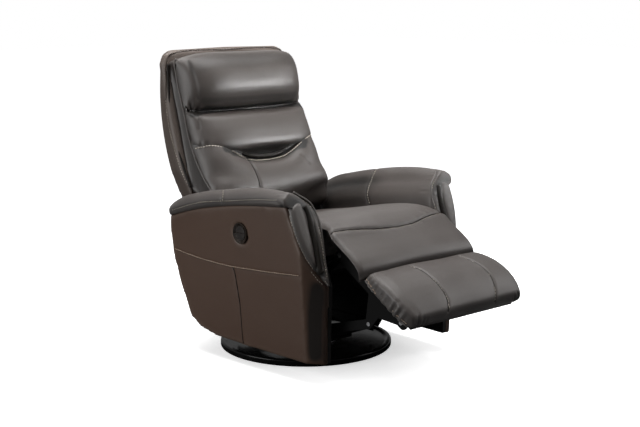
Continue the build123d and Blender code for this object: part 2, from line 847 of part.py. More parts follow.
with BuildPart() as back_brackets:
    for sign in (1, -1):
        with BuildSketch(Plane.YZ.offset(sign * crank_x)):
            bar((pivot_y, pivot_z), (pivot_y + 15, pivot_z + 105), 24)
            with Locations((pivot_y, pivot_z)):
                Circle(20)
                Circle(shaft_radius, mode=Mode.SUBTRACT)
        extrude(amount=sign * plate)
back_brackets.part.label = "back_brackets"
export_step(back_brackets.part, "parts/back_brackets.step")

board_foot = pivot_z + 60
board_head = 1040
board_middle = (board_foot + board_head) / 2
with BuildPart() as back_frame:
    with BuildSketch(Plane.YZ.offset(-board_half)):
        with BuildLine():
            ThreePointArc(
                (board_y(board_foot), board_foot),
                (board_y(board_middle), board_middle),
                (board_y(board_head), board_head),
            )
            Line((board_y(board_head), board_head), (board_y(board_head, back_board), board_head))
            ThreePointArc(
                (board_y(board_head, back_board), board_head),
                (board_y(board_middle, back_board), board_middle),
                (board_y(board_foot, back_board), board_foot),
            )
            Line((board_y(board_foot, back_board), board_foot), (board_y(board_foot), board_foot))
        make_face()
    extrude(amount=2 * board_half)
back_frame.part.label = "back_frame"
export_step(back_frame.part, "parts/back_frame.step")

shell_sections = (
    (shell_half_width, 640, 1030, 22, 18),
    (shell_half_width - 14, shell_tuck, 1066, 8, 6),
    (shell_half_width - 38, shell_low, 1080, 0, 0),
    (0, shell_low, shell_high, 0, 0),
)
with BuildPart() as back_shell:
    stations = [(-x, *rest) for x, *rest in shell_sections]
    stations += [(x, *rest) for x, *rest in reversed(shell_sections[:-1])]
    for x, low, high, front_inset, rear_inset in stations:
        front_mid = (low + high) / 2
        front_run = (high - 16 - low) / shell_front_steps
        front_line = []
        for step in range(shell_front_steps + 1):
            z = low + step * front_run
            tuck = max(0, shell_tuck - z) * 0.5
            front_line.append((board_y(z, back_board) + shell_seat + front_inset + tuck, z))
        shell_front_low, shell_front_high = front_line[0][0], front_line[-1][0]
        with BuildSketch(Plane.YZ.offset(x)):
            with BuildLine():
                Polyline(*front_line)
                rear_high = (shell_rear_high - rear_inset, high - shell_roll)
                ThreePointArc(
                    (shell_front_high, high - 16),
                    ((shell_front_high + rear_high[0]) / 2, high),
                    rear_high,
                )
                rear_low = (shell_rear_low + (low - shell_low) * 0.52 - rear_inset, low)
                bulge = shell_bulge * (high - low) / (shell_high - shell_low)
                ThreePointArc(
                    rear_high,
                    ((rear_high[0] + rear_low[0]) / 2 + bulge, front_mid),
                    rear_low,
                )
                Line(rear_low, (shell_front_low, low))
            make_face()
    loft(ruled=True)
back_shell.part.label = "back_shell"
export_step(back_shell.part, "parts/back_shell.step")

# each pillow: rear foot and head on the board, then its front from the lower crease up, once at
# the middle and once at the ends
pillows = (
    (
        "head_pillow", 884, 1044, back_half_width - 6,
        ((314, 880), (275, 924), (277, 982), (318, 1046), (384, 1069)),
        ((352, 884), (352, 906), (368, 967), (392, 1030), (404, 1054)),
    ),
    (
        "mid_pillow", 742, 874, back_half_width - 6,
        ((246, 688), (213, 742), (222, 780), (264, 856), (306, 871)),
        ((302, 746), (294, 760), (302, 788), (338, 854), (350, 872)),
    ),
    (
        "lower_back_cushion", 566, 730, back_half_width - 5,
        ((146, 548), (140, 576), (160, 625), (192, 660), (238, 676)),
        ((190, 552), (170, 574), (196, 625), (240, 690), (298, 734)),
    ),
)
# share of the half width, how full the front is there and how far the lumbar seam dips there
pillow_right = ((1, 0, 0), (0.97, 0.3, 0), (0.9, 0.55, 0), (0.8, 0.75, 0.03), (0.66, 0.88, 0.16))
pillow_right += ((0.5, 0.95, 0.5), (0.3, 0.99, 0.87))
pillow_shares = [(-share, full, dip) for share, full, dip in pillow_right]
pillow_shares += [(0, 1, 1)] + list(reversed(pillow_right))
for pillow_name, low, high, half, front_middle, front_ends in pillows:
    with BuildPart() as pillow:
        for share, full, dip in pillow_shares:
            inset = (1 - full) * pillow_edge * 0.3
            front = [
                (end[0] + (mid[0] - end[0]) * full, end[1] + (mid[1] - end[1]) * dip)
                for mid, end in zip(front_middle, front_ends)
            ]
            rear_bottom = (board_y(low + inset) - pillow_gap - inset, low + inset)
            rear_top = (board_y(high - inset) - pillow_gap - inset, high - inset)
            with BuildSketch(Plane.YZ.offset(share * half)):
                with BuildLine():
                    Line(rear_top, rear_bottom)
                    Line(rear_bottom, front[0])
                    Spline(*front)
                    Line(front[-1], rear_top)
                make_face()
        loft(ruled=True)
    pillow.part.label = pillow_name
    export_step(pillow.part, "parts/" + pillow_name + ".step")

# control
with BuildPart() as control_bezel:
    with BuildSketch(Plane.YZ.offset(control_face_x)):
        with Locations((control_y, control_z)):
            Circle(control_radius)
    extrude(amount=24)
    with BuildSketch(Plane.YZ.offset(control_face_x)):
        with Locations((control_y, control_z)):
            Circle(control_radius - 3)
    extrude(amount=6, taper=42, mode=Mode.SUBTRACT)
    with BuildSketch(Plane.YZ.offset(control_face_x)):
        with Locations((control_y, control_z)):
            Circle(button_radius + button_gap)
            Rectangle(2 * control_radius, button_split - 2 * button_gap, mode=Mode.SUBTRACT)
    extrude(amount=24, mode=Mode.SUBTRACT)
control_bezel.part.label = "control_bezel"
export_step(control_bezel.part, "parts/control_bezel.step")

for button_name, half in (("open_button", 1), ("close_button", -1)):
    with BuildPart() as push_button:
        with BuildSketch(Plane.YZ.offset(control_face_x + 4)):
            with Locations((control_y, control_z)):
                Circle(button_radius)
            with Locations((control_y, control_z - half * (button_radius - button_split / 2))):
                Rectangle(3 * button_radius, 2 * button_radius, mode=Mode.SUBTRACT)
        extrude(amount=14)
    push_button.part.label = button_name
    export_step(push_button.part, "parts/" + button_name + ".step")
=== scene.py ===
import json
import math

import bmesh
import bpy
import numpy as np
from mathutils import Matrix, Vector
from mathutils.bvhtree import BVHTree


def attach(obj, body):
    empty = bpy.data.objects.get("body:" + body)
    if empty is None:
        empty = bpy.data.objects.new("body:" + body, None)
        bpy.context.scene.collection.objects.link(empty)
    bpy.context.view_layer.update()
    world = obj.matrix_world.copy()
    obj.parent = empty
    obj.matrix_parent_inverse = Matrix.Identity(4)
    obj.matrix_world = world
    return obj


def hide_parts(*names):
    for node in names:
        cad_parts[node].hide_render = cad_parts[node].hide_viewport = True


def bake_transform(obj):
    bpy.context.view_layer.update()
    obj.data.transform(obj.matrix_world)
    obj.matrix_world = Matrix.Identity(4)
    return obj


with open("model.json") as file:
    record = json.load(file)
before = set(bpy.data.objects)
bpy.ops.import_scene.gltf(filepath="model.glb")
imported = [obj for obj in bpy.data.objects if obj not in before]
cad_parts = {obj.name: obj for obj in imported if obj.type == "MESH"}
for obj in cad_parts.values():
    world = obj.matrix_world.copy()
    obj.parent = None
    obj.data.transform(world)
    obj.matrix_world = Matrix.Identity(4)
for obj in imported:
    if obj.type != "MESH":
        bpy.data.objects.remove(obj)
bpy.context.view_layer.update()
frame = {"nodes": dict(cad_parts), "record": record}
nodes = frame["nodes"]
scene = bpy.context.scene
mm = 0.001
print("frame loaded,", len(nodes), "nodes")


# shape tools, all in millimetres until a mesh is made
def curveThrough(points, count):
    p = np.array(points, float)
    t = np.r_[0, np.cumsum(np.linalg.norm(np.diff(p, axis=0), axis=1))]
    t /= t[-1]
    m = np.gradient(p, t, axis=0)
    u = np.linspace(0, 1, count)
    i = np.clip(np.searchsorted(t, u, side="right") - 1, 0, len(t) - 2)
    h = (t[i + 1] - t[i])[:, None]
    s = (u - t[i])[:, None] / h
    return (
        p[i] * (2 * s**3 - 3 * s**2 + 1)
        + m[i] * h * (s**3 - 2 * s**2 + s)
        + p[i + 1] * (3 * s**2 - 2 * s**3)
        + m[i + 1] * h * (s**3 - s**2)
    )


def evenly(points, step):
    dense = curveThrough(points, 400)
    run = np.r_[0, np.cumsum(np.linalg.norm(np.diff(dense, axis=0), axis=1))]
    at = np.linspace(0, run[-1], max(2, int(run[-1] / step) + 1))
    return np.stack([np.interp(at, run, dense[:, k]) for k in range(3)], 1)


def ease(v):
    v = np.clip(v, 0, 1)
    return v * v * (3 - 2 * v)


def newObject(name, verts, faces):
    mesh = bpy.data.meshes.new(name)
    mesh.from_pydata((np.array(verts, float) * mm).tolist(), [], faces)
    bm = bmesh.new()
    bm.from_mesh(mesh)
    bmesh.ops.recalc_face_normals(bm, faces=bm.faces)
    bm.to_mesh(mesh)
    bm.free()
    mesh.polygons.foreach_set("use_smooth", [True] * len(mesh.polygons))
    obj = bpy.data.objects.new(name, mesh)
    scene.collection.objects.link(obj)
    return obj


# how far the rings that close each end of a loft are drawn in
capShrink = (0.04, 0.3, 0.6, 0.85, 0.95)


# closed loops joined along their length, with both ends drawn in to a small face that can dome
def loft(name, loops, dome=0.0):
    loops = np.array(loops, float)
    first, last = loops[0].mean(0), loops[-1].mean(0)
    outward = (first - last) / (np.linalg.norm(first - last) + 1e-9) * dome
    start = [first + (loops[0] - first) * k + outward * (1 - k * k) ** 0.5 for k in capShrink]
    end = [last + (loops[-1] - last) * k - outward * (1 - k * k) ** 0.5 for k in reversed(capShrink)]
    rings = np.concatenate([start, loops, end])
    rows, cols = rings.shape[:2]
    index = np.arange(rows * cols).reshape(rows, cols)
    a, b = index[:-1], index[1:]
    quads = np.stack([a, np.roll(a, -1, 1), np.roll(b, -1, 1), b], -1).reshape(-1, 4)
    faces = quads.tolist() + [index[0].tolist(), index[-1].tolist()]
    return newObject(name, rings.reshape(-1, 3), faces)


def settle(obj):
    graph = bpy.context.evaluated_depsgraph_get()
    mesh = bpy.data.meshes.new_from_object(obj.evaluated_get(graph))
    obj.modifiers.clear()
    obj.data = mesh
    mesh.polygons.foreach_set("use_smooth", [True] * len(mesh.polygons))
    return obj


# a node's solid as one even mesh with its edges eased
def softCopy(name, node, voxel, rounds):
    mesh = nodes[node].data.copy()
    mesh.materials.clear()
    obj = bpy.data.objects.new(name, mesh)
    scene.collection.objects.link(obj)
    bm = bmesh.new()
    bm.from_mesh(mesh)
    bmesh.ops.remove_doubles(bm, verts=bm.verts, dist=1e-5)
    bm.to_mesh(mesh)
    bm.free()
    remesh = obj.modifiers.new("even", "REMESH")
    remesh.mode = "VOXEL"
    remesh.voxel_size = voxel * mm
    relax = obj.modifiers.new("ease", "SMOOTH")
    relax.factor = 0.5
    relax.iterations = rounds
    return settle(obj)


def coords(obj):
    c = np.empty(len(obj.data.vertices) * 3)
    obj.data.vertices.foreach_get("co", c)
    return c.reshape(-1, 3) / mm


def normals(obj):
    n = np.empty(len(obj.data.vertices) * 3)
    obj.data.vertices.foreach_get("normal", n)
    return n.reshape(-1, 3)


def setCoords(obj, c):
    obj.data.vertices.foreach_set("co", (c * mm).ravel())
    obj.data.update()


# distance from each point to a line, and how far along the line that is
def nearLine(c, line):
    best = np.full(len(c), 1e9)
    along = np.zeros(len(c))
    run = np.r_[0, np.cumsum(np.linalg.norm(np.diff(line, axis=0), axis=1))]
    for q, s in zip(line, run):
        d = ((c - q) ** 2).sum(1)
        closer = d < best
        best[closer] = d[closer]
        along[closer] = s
    return np.sqrt(best), along


# a line given near a surface, moved onto it
def onSkin(obj, points, step=2.5):
    verts = [Vector(v) for v in coords(obj)]
    tree = BVHTree.FromPolygons(verts, [tuple(p.vertices) for p in obj.data.polygons])
    return np.array([tree.find_nearest(Vector(q))[0] for q in evenly(points, step)], float)


def groove(obj, points, width, depth):
    c = coords(obj)
    d, _ = nearLine(c, onSkin(obj, points))
    setCoords(obj, c - normals(obj) * (depth * np.exp(-((d / width) ** 2)))[:, None])


# puckers that run out square from a seam
def gathers(obj, points, pitch, reach, depth, seed):
    c = coords(obj)
    d, s = nearLine(c, onSkin(obj, points))
    rng = np.random.default_rng(seed)
    wave = np.zeros(len(c))
    for k in range(4):
        wave += np.sin(2 * np.pi * s / (pitch * rng.uniform(0.7, 1.5)) + rng.uniform(0, 6.28))
    near = np.exp(-((d / reach) ** 2))
    setCoords(obj, c + normals(obj) * (depth * wave / 2.2 * near)[:, None])


# slow swells over a surface, as stuffing gives
def swell(obj, length, depth, seed):
    c = coords(obj)
    rng = np.random.default_rng(seed)
    wave = np.zeros(len(c))
    for k in range(7):
        way = rng.normal(size=3)
        way /= np.linalg.norm(way) * length * rng.uniform(0.7, 1.4)
        wave += np.sin(2 * np.pi * (c @ way) + rng.uniform(0, 6.28))
    setCoords(obj, c + normals(obj) * (depth * wave / 3)[:, None])


# how far each point stands proud of its surroundings: proud points take the leather's rubbed colour, hollow ones
# painted shade
def markWearAndShade(obj, rounds, scale):
    c = coords(obj)
    edges = np.empty(len(obj.data.edges) * 2, int)
    obj.data.edges.foreach_get("vertices", edges)
    a, b = edges.reshape(-1, 2).T
    count = np.bincount(np.r_[a, b], minlength=len(c))[:, None].clip(1)
    eased = c.copy()
    for _ in range(rounds):
        total = np.zeros_like(eased)
        for k in range(3):
            total[:, k] = np.bincount(np.r_[a, b], np.r_[eased[b, k], eased[a, k]], len(c))
        eased = 0.5 * eased + 0.5 * total / count
    proud = ((c - eased) * normals(obj)).sum(1) / scale
    wearAndShade = obj.data.attributes.get("wearAndShade") or obj.data.attributes.new("wearAndShade", "FLOAT", "POINT")
    wearAndShade.data.foreach_set("value", np.clip(0.5 + 0.5 * proud, 0, 1).astype(np.float32))


# painted shade along a line: the wear-and-shade value falls towards it; a negative amount raises it and paints light
def paintLightAndShade(obj, points, width, amount):
    wearAndShade = obj.data.attributes["wearAndShade"]
    values = np.empty(len(obj.data.vertices), np.float32)
    wearAndShade.data.foreach_get("value", values)
    d, _ = nearLine(coords(obj), onSkin(obj, points))
    values -= amount * np.exp(-((d / width) ** 4))
    wearAndShade.data.foreach_set("value", np.clip(values, 0, 1).astype(np.float32))


def surfaceOf(*objs):
    verts, faces = [], []
    for obj in objs:
        start = len(verts)
        verts += [Vector(v) for v in coords(obj)]
        faces += [[start + i for i in p.vertices] for p in obj.data.polygons]
    return BVHTree.FromPolygons(verts, faces)


def laidOn(points, tree, step):
    line = evenly(points, step)
    spots, ups = [], []
    for q in line:
        hit = tree.find_nearest(Vector(q))
        spots.append(hit[0])
        ups.append(hit[1])
    return np.array(spots, float), np.array(ups, float)


# thread: short capsules along lines that lie on a surface
def stitches(name, rows, tree, pitch=10.5, length=6.5, radius=1.05, lift=0.35):
    sides = 6
    ring = np.linspace(0, 2 * np.pi, sides, endpoint=False)
    shape = [(-1, 0.25), (-0.75, 0.8), (0, 1), (0.75, 0.8), (1, 0.25)]
    verts, faces = [], []
    for points in rows:
        spots, ups = laidOn(points, tree, pitch)
        ways = np.gradient(spots, axis=0)
        for p, n, t in zip(spots[1:-1], ups[1:-1], ways[1:-1]):
            t = t / (np.linalg.norm(t) + 1e-9)
            side = np.cross(n, t)
            side /= np.linalg.norm(side) + 1e-9
            start = len(verts)
            for x, r in shape:
                for w in ring:
                    verts.append(
                        p
                        + t * (x * length / 2)
                        + side * (np.cos(w) * radius * r)
                        + n * (np.sin(w) * radius * r + lift)
                    )
            for k in range(len(shape) - 1):
                for j in range(sides):
                    a, b = start + k * sides + j, start + k * sides + (j + 1) % sides
                    faces.append([a, b, b + sides, a + sides])
            last = start + (len(shape) - 1) * sides
            faces.append([start + j for j in range(sides)])
            faces.append([last + j for j in range(sides)])
    return newObject(name, verts, faces)


# piping: a round cord under leather, along a line that can be laid on a surface
def piping(name, points, radius, step=5, sides=12, tree=None, lift=0.0):
    line = evenly(points, step)
    if tree:
        spots, ups = laidOn(points, tree, step)
        line = spots + ups * lift
    ways = np.gradient(line, axis=0)
    ways /= np.linalg.norm(ways, axis=1)[:, None]
    up = np.cross(ways[0], (0.3, 0.5, 0.81))
    loops = []
    for p, t in zip(line, ways):
        up = up - t * (up @ t)
        up /= np.linalg.norm(up)
        side = np.cross(t, up)
        w = np.linspace(0, 2 * np.pi, sides, endpoint=False)[:, None]
        loops.append(p + radius * (np.cos(w) * up + np.sin(w) * side))
    return loft(name, loops)


# materials
def nodeGroup(name, inputs, outputs):
    group = bpy.data.node_groups.new(name, "ShaderNodeTree")
    for label, kind, value in inputs:
        socket = group.interface.new_socket(label, in_out="INPUT", socket_type=kind)
        socket.default_value = value
    for label, kind in outputs:
        group.interface.new_socket(label, in_out="OUTPUT", socket_type=kind)
    tree = group.nodes
    return group, tree.new("NodeGroupInput"), tree.new("NodeGroupOutput")


def math2(tree, operation, a, b):
    node = tree.nodes.new("ShaderNodeMath")
    node.operation = operation
    for k, value in enumerate((a, b)):
        if isinstance(value, (int, float)):
            node.inputs[k].default_value = value
        else:
            tree.links.new(value, node.inputs[k])
    return node.outputs[0]


def mixColour(tree, factor, a, b, blend="MIX"):
    node = tree.nodes.new("ShaderNodeMix")
    node.data_type = "RGBA"
    node.blend_type = blend
    for socket, value in zip((node.inputs[0], node.inputs[6], node.inputs[7]), (factor, a, b)):
        if isinstance(value, (int, float, tuple)):
            socket.default_value = value
        else:
            tree.links.new(value, socket)
    return node.outputs[2]


def noise(tree, vector, scale, detail, roughness=0.5):
    node = tree.nodes.new("ShaderNodeTexNoise")
    node.inputs["Scale"].default_value = scale
    node.inputs["Detail"].default_value = detail
    node.inputs["Roughness"].default_value = roughness
    tree.links.new(vector, node.inputs["Vector"])
    return node.outputs[0]


def cells(tree, vector, scale, feature):
    node = tree.nodes.new("ShaderNodeTexVoronoi")
    node.feature = feature
    node.inputs["Scale"].default_value = scale
    tree.links.new(vector, node.inputs["Vector"])
    return node.outputs[0]


def ramp(tree, value, low, high, toLow=0.0, toHigh=1.0):
    node = tree.nodes.new("ShaderNodeMapRange")
    node.inputs["From Min"].default_value = low
    node.inputs["From Max"].default_value = high
    node.inputs["To Min"].default_value = toLow
    node.inputs["To Max"].default_value = toHigh
    tree.links.new(value, node.inputs["Value"])
    return node.outputs[0]


# pebbled hide: colour that shifts over the skin, rubbed ridges, painted shade in hollows, pores and fine creases
skinScale = {"cloud": 9, "mottle": 60, "pores": 620, "pebble": 330, "crease": 170}


def leatherGroup():
    group, given, made = nodeGroup(
        "HideSkin",
        (
            ("Vector", "NodeSocketVector", (0, 0, 0)),
            ("Body", "NodeSocketColor", (0.06, 0.05, 0.045, 1)),
            ("RubbedAndLit", "NodeSocketColor", (0.13, 0.12, 0.11, 1)),
            ("Shade", "NodeSocketColor", (0.02, 0.016, 0.014, 1)),
            ("WearAndShade", "NodeSocketFloat", 0.5),
        ),
        (
            ("Colour", "NodeSocketColor"),
            ("Roughness", "NodeSocketFloat"),
            ("Height", "NodeSocketFloat"),
        ),
    )
    at = given.outputs["Vector"]
    cloud = noise(group, at, skinScale["cloud"], detail=4, roughness=0.6)
    mottle = noise(group, at, skinScale["mottle"], detail=5, roughness=0.65)
    pores = cells(group, at, skinScale["pores"], "DISTANCE_TO_EDGE")
    pebble = cells(group, at, skinScale["pebble"], "F1")
    crease = noise(group, at, skinScale["crease"], detail=6, roughness=0.6)
    drift = math2(group, "ADD", math2(group, "MULTIPLY", cloud, 0.5), math2(group, "MULTIPLY", mottle, 0.35))
    # the rubbed colour: real wear on proud points, and painted light where the wear-and-shade value is raised
    ridges = ramp(group, given.outputs["WearAndShade"], low=0.5, high=0.95)
    rubbedAndLit = math2(group, "ADD", ridges, ramp(group, drift, low=0.42, high=0.62, toLow=-0.18, toHigh=0.3))
    # painted shade: hollows and painted lines lean to the Shade colour
    shade = ramp(group, given.outputs["WearAndShade"], low=0.46, high=0.12)
    tone = mixColour(group, math2(group, "MULTIPLY", rubbedAndLit, 0.8), given.outputs["Body"], given.outputs["RubbedAndLit"])
    tone = mixColour(group, shade, tone, given.outputs["Shade"])
    darker = ramp(group, pores, low=0.0, high=0.12, toLow=0.82)
    grain = group.nodes.new("ShaderNodeHueSaturation")
    group.links.new(tone, grain.inputs["Color"])
    group.links.new(darker, grain.inputs["Value"])
    group.links.new(grain.outputs[0], made.inputs["Colour"])
    group.links.new(ramp(group, drift, low=0.3, high=0.6, toLow=0.37, toHigh=0.5), made.inputs["Roughness"])
    pit = ramp(group, pores, low=0.0, high=0.16)
    height = math2(group, "ADD", math2(group, "MULTIPLY", pit, 0.5), math2(group, "MULTIPLY", crease, 0.9))
    height = math2(group, "SUBTRACT", height, math2(group, "MULTIPLY", pebble, 0.35))
    group.links.new(height, made.inputs["Height"])
    return group


def newMaterial(name):
    mat = bpy.data.materials.new(name)
    mat.use_nodes = True
    tree = mat.node_tree
    shader = tree.nodes["Principled BSDF"]
    spot = tree.nodes.new("ShaderNodeTexCoord").outputs["Object"]
    return mat, tree, shader, spot


def bumped(tree, shader, height, distance, strength=1.0):
    bump = tree.nodes.new("ShaderNodeBump")
    bump.inputs["Distance"].default_value = distance
    bump.inputs["Strength"].default_value = strength
    tree.links.new(height, bump.inputs["Height"])
    tree.links.new(bump.outputs[0], shader.inputs["Normal"])


hideSkin = leatherGroup()


def leather(name, look):
    mat, tree, shader, spot = newMaterial(name)
    skin = tree.nodes.new("ShaderNodeGroup")
    skin.node_tree = hideSkin
    wearAndShade = tree.nodes.new("ShaderNodeAttribute")
    wearAndShade.attribute_name = "wearAndShade"
    tree.links.new(spot, skin.inputs["Vector"])
    tree.links.new(wearAndShade.outputs["Fac"], skin.inputs["WearAndShade"])
    for label in ("Body", "RubbedAndLit", "Shade"):
        skin.inputs[label].default_value = (*look[label], 1)
    tree.links.new(skin.outputs["Colour"], shader.inputs["Base Color"])
    tree.links.new(skin.outputs["Roughness"], shader.inputs["Roughness"])
    bumped(tree, shader, skin.outputs["Height"], look["bump"] * mm)
    shader.inputs["Specular IOR Level"].default_value = look["gloss"]
    shader.inputs["Coat Weight"].default_value = look["coat"]
    shader.inputs["Coat Roughness"].default_value = 0.33
    return mat


hide = leather("hide", {
    "Body": (0.050, 0.042, 0.038), "RubbedAndLit": (0.100, 0.091, 0.086), "Shade": (0.007, 0.006, 0.005),
    "bump": 0.18, "gloss": 0.62, "coat": 0.08,
})
hideSide = leather("hideSide", {
    "Body": (0.092, 0.053, 0.036), "RubbedAndLit": (0.140, 0.095, 0.072), "Shade": (0.012, 0.008, 0.006),
    "bump": 0.16, "gloss": 0.4, "coat": 0.04,
})
hideShell = leather("hideShell", {
    "Body": (0.082, 0.063, 0.053), "RubbedAndLit": (0.140, 0.116, 0.102), "Shade": (0.010, 0.008, 0.006),
    "bump": 0.2, "gloss": 0.4, "coat": 0.04,
})
# near-black leather for cords that paint the shade in folds, gaps and seam grooves
paintedShadeHide = leather("paintedShadeHide", {
    "Body": (0.009, 0.007, 0.006), "RubbedAndLit": (0.016, 0.014, 0.012), "Shade": (0.005, 0.004, 0.004),
    "bump": 0.2, "gloss": 0.2, "coat": 0.0,
})


# twisted thread, dull paint, bare metal, cloth and moulded plastic share one recipe:
# two tones, a roughness range and a fine relief
def surface(name, look):
    mat, tree, shader, spot = newMaterial(name)
    blotch = noise(tree, spot, look["patch"], detail=4, roughness=0.6)
    shader.inputs["Metallic"].default_value = look.get("metal", 0.0)
    shader.inputs["Coat Weight"].default_value = look.get("coat", 0.0)
    shader.inputs["Coat Roughness"].default_value = 0.06
    shader.inputs["Specular IOR Level"].default_value = look.get("gloss", 0.5)
    factor = ramp(tree, blotch, low=0.35, high=0.65)
    tone = mixColour(tree, factor, (*look["dark"], 1), (*look["light"], 1))
    tree.links.new(tone, shader.inputs["Base Color"])
    tree.links.new(ramp(tree, blotch, 0.3, 0.7, *look["rough"]), shader.inputs["Roughness"])
    fine = noise(tree, spot, look["grain"], detail=3, roughness=0.6)
    bumped(tree, shader, fine, look["bump"] * mm)
    return mat


threadTan = surface("threadTan", {
    "dark": (0.36, 0.26, 0.19), "light": (0.52, 0.40, 0.31), "patch": 90, "grain": 2600,
    "rough": (0.55, 0.75), "bump": 0.2,
})
thread = surface("thread", {
    "dark": (0.34, 0.30, 0.25), "light": (0.55, 0.50, 0.43), "patch": 90, "grain": 2600,
    "rough": (0.55, 0.75), "bump": 0.2,
})
baseGloss = surface("baseGloss", {
    "dark": (0.004, 0.004, 0.004), "light": (0.008, 0.008, 0.008), "patch": 30, "grain": 160,
    "rough": (0.16, 0.24), "bump": 0.01, "coat": 0.06, "gloss": 0.15,
})
steelBlack = surface("steelBlack", {
    "dark": (0.003, 0.003, 0.003), "light": (0.006, 0.006, 0.006), "patch": 40, "grain": 900,
    "rough": (0.6, 0.75), "bump": 0.06, "gloss": 0.12,
})
steelPlain = surface("steelPlain", {
    "dark": (0.34, 0.34, 0.35), "light": (0.5, 0.5, 0.51), "patch": 70, "grain": 700,
    "rough": (0.25, 0.42), "bump": 0.03, "metal": 1.0,
})
nylon = surface("nylon", {
    "dark": (0.5, 0.48, 0.43), "light": (0.62, 0.6, 0.55), "patch": 60, "grain": 500,
    "rough": (0.4, 0.55), "bump": 0.03,
})
liner = surface("liner", {
    "dark": (0.008, 0.008, 0.008), "light": (0.016, 0.015, 0.015), "patch": 200, "grain": 1100,
    "rough": (0.85, 0.95), "bump": 0.3,
})
driveCase = surface("driveCase", {
    "dark": (0.016, 0.016, 0.017), "light": (0.026, 0.026, 0.027), "patch": 50, "grain": 1300,
    "rough": (0.5, 0.62), "bump": 0.08,
})
controlGloss = surface("controlGloss", {
    "dark": (0.014, 0.009, 0.006), "light": (0.024, 0.015, 0.010), "patch": 60, "grain": 300,
    "rough": (0.14, 0.24), "bump": 0.01, "coat": 0.5,
})
buttonSatin = surface("buttonSatin", {
    "dark": (0.010, 0.007, 0.006), "light": (0.018, 0.013, 0.010), "patch": 80, "grain": 1500,
    "rough": (0.3, 0.42), "bump": 0.05,
})
bySlot = {
    "base_gloss": baseGloss,
    "steel_black": steelBlack,
    "steel_plain": steelPlain,
    "nylon": nylon,
    "plywood": liner,
    "webbing": liner,
    "drive_case": driveCase,
    "control_gloss": controlGloss,
    "button_satin": buttonSatin,
    "hide": hide,
    "hide_side": hideSide,
}


def dress(obj, mat, body=None):
    obj.data.materials.clear()
    obj.data.materials.append(mat)
    if body:
        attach(obj, body)


print("materials ready")

# the back board's front face
boardFit = np.polyfit((500, 715, 1020), (262, 348, 424), 2)


def boardY(z):
    return np.polyval(boardFit, z)


def mirrored(points, sign):
    return [(sign * x, y, z) for x, y, z in points]


def rowAt(xs, y, z):
    return [(x, y, z) for x in xs]


# the back's front line from the foot flap up, at the middle and at the ends: flap, lower cushion,
# lumbar crease, middle pillow, head crease, head pillow
backRun = {
    "half": 282, "slices": 131, "bunch": 1.9,  # slices lie closer together towards the ends
    "round": 4.2,  # higher is fuller at the ends
    "flap": 4, "lumbar": 10, "neck": 19,  # where those parts start along the line
    "middle": (
        (236, 464), (220, 464), (192, 474), (164, 494), (146, 520), (137, 548), (139, 586), (157, 628),
        (184, 657), (228, 676), (238, 682), (234, 702), (222, 719), (212, 733), (213, 749), (221, 774),
        (238, 808), (262, 838), (298, 851), (330, 857), (314, 865), (297, 881), (282, 907), (273, 940),
        (277, 980), (300, 1030), (340, 1060), (388, 1071),
    ),
    "ends": (
        (236, 526), (227, 527), (214, 531), (202, 539), (193, 552), (194, 572), (210, 598), (248, 634),
        (284, 690), (310, 731), (316, 737), (316, 744), (315, 752), (315, 760), (319, 770), (331, 789),
        (344, 816), (356, 847), (364, 863), (369, 870), (371, 878), (375, 888), (381, 904), (388, 928),
        (395, 958), (401, 998), (402, 1020), (400, 1036),
    ),
    "dip": (  # how low the lumbar seam hangs, from the middle out
        (0, 1), (0.2, 0.95), (0.314, 0.855), (0.406, 0.69), (0.558, 0.29), (0.636, 0.09), (0.71, -0.11),
        (0.8, -0.25), (0.88, -0.29), (0.94, -0.2), (1, 0),
    ),
    "hollow": {-1: (3, 13), 0: (8, 18), 1: (5, 16), 2: (2, 8)},  # how far the crease lies behind the lip
    "hangFrom": 258, "hangOver": 14,
    "rearTop": 1056, "topDrop": 26, "rearFoot": 570, "boardGap": 2,
    "wrap": 20, "wrapFrom": 232, "wrapOver": 14,  # round the board's edge
    "foot": ((262, 561), (240, 550), (236, 520), (238, 474)),
    "footDrawn": ((262, 548), (252, 539), (246, 534), (240, 530)),
    # how dark the end walls are painted, as shade
    "wallShade": 0.3,
}


def backCover():
    half = backRun["half"]
    middle, ends = np.array(backRun["middle"], float), np.array(backRun["ends"], float)
    foot, drawn = np.array(backRun["foot"], float), np.array(backRun["footDrawn"], float)
    flap, lumbar, neck = backRun["flap"], backRun["lumbar"], backRun["neck"]
    dipLine = curveThrough(backRun["dip"], 300)
    loops = []
    for t in np.linspace(-1, 1, backRun["slices"]):
        u = 1 - (1 - abs(t)) ** backRun["bunch"]
        x = np.sign(t) * u * half
        full = (1 - u ** backRun["round"]) ** 0.5
        dip = np.interp(u, dipLine[:, 0], dipLine[:, 1])
        shareY = np.full(len(middle), full)
        shareZ = np.full(len(middle), full)
        shareZ[flap:lumbar + 2] = dip
        hang = 1 - ease((abs(x) - backRun["hangFrom"]) / backRun["hangOver"])
        shareY[:flap] = shareZ[:flap] = hang
        front = np.c_[
            ends[:, 0] + (middle[:, 0] - ends[:, 0]) * shareY,
            ends[:, 1] + (middle[:, 1] - ends[:, 1]) * shareZ,
        ]
        lip, channelShade = front[lumbar + 3, 0], max(dip, 0)
        for step, (least, more) in backRun["hollow"].items():
            front[lumbar + step, 0] = lip + least + more * channelShade
        front = np.concatenate([
            curveThrough(front[:lumbar + 1], 70)[:-1],
            curveThrough(front[lumbar:neck + 1], 60)[:-1],
            curveThrough(front[neck:], 56),
        ])
        z = np.linspace(backRun["rearTop"] - backRun["topDrop"] * (1 - full), backRun["rearFoot"], 34)
        wrap = backRun["wrap"] * ease((abs(x) - backRun["wrapFrom"]) / backRun["wrapOver"])
        y = boardY(z) - backRun["boardGap"] + wrap
        rear = np.concatenate([np.c_[y, z], drawn + (foot - drawn) * hang])
        loop = np.concatenate([front, rear])
        loops.append(np.c_[np.full(len(loop), x), loop])
    return loft("back_cover", loops, dome=-8)


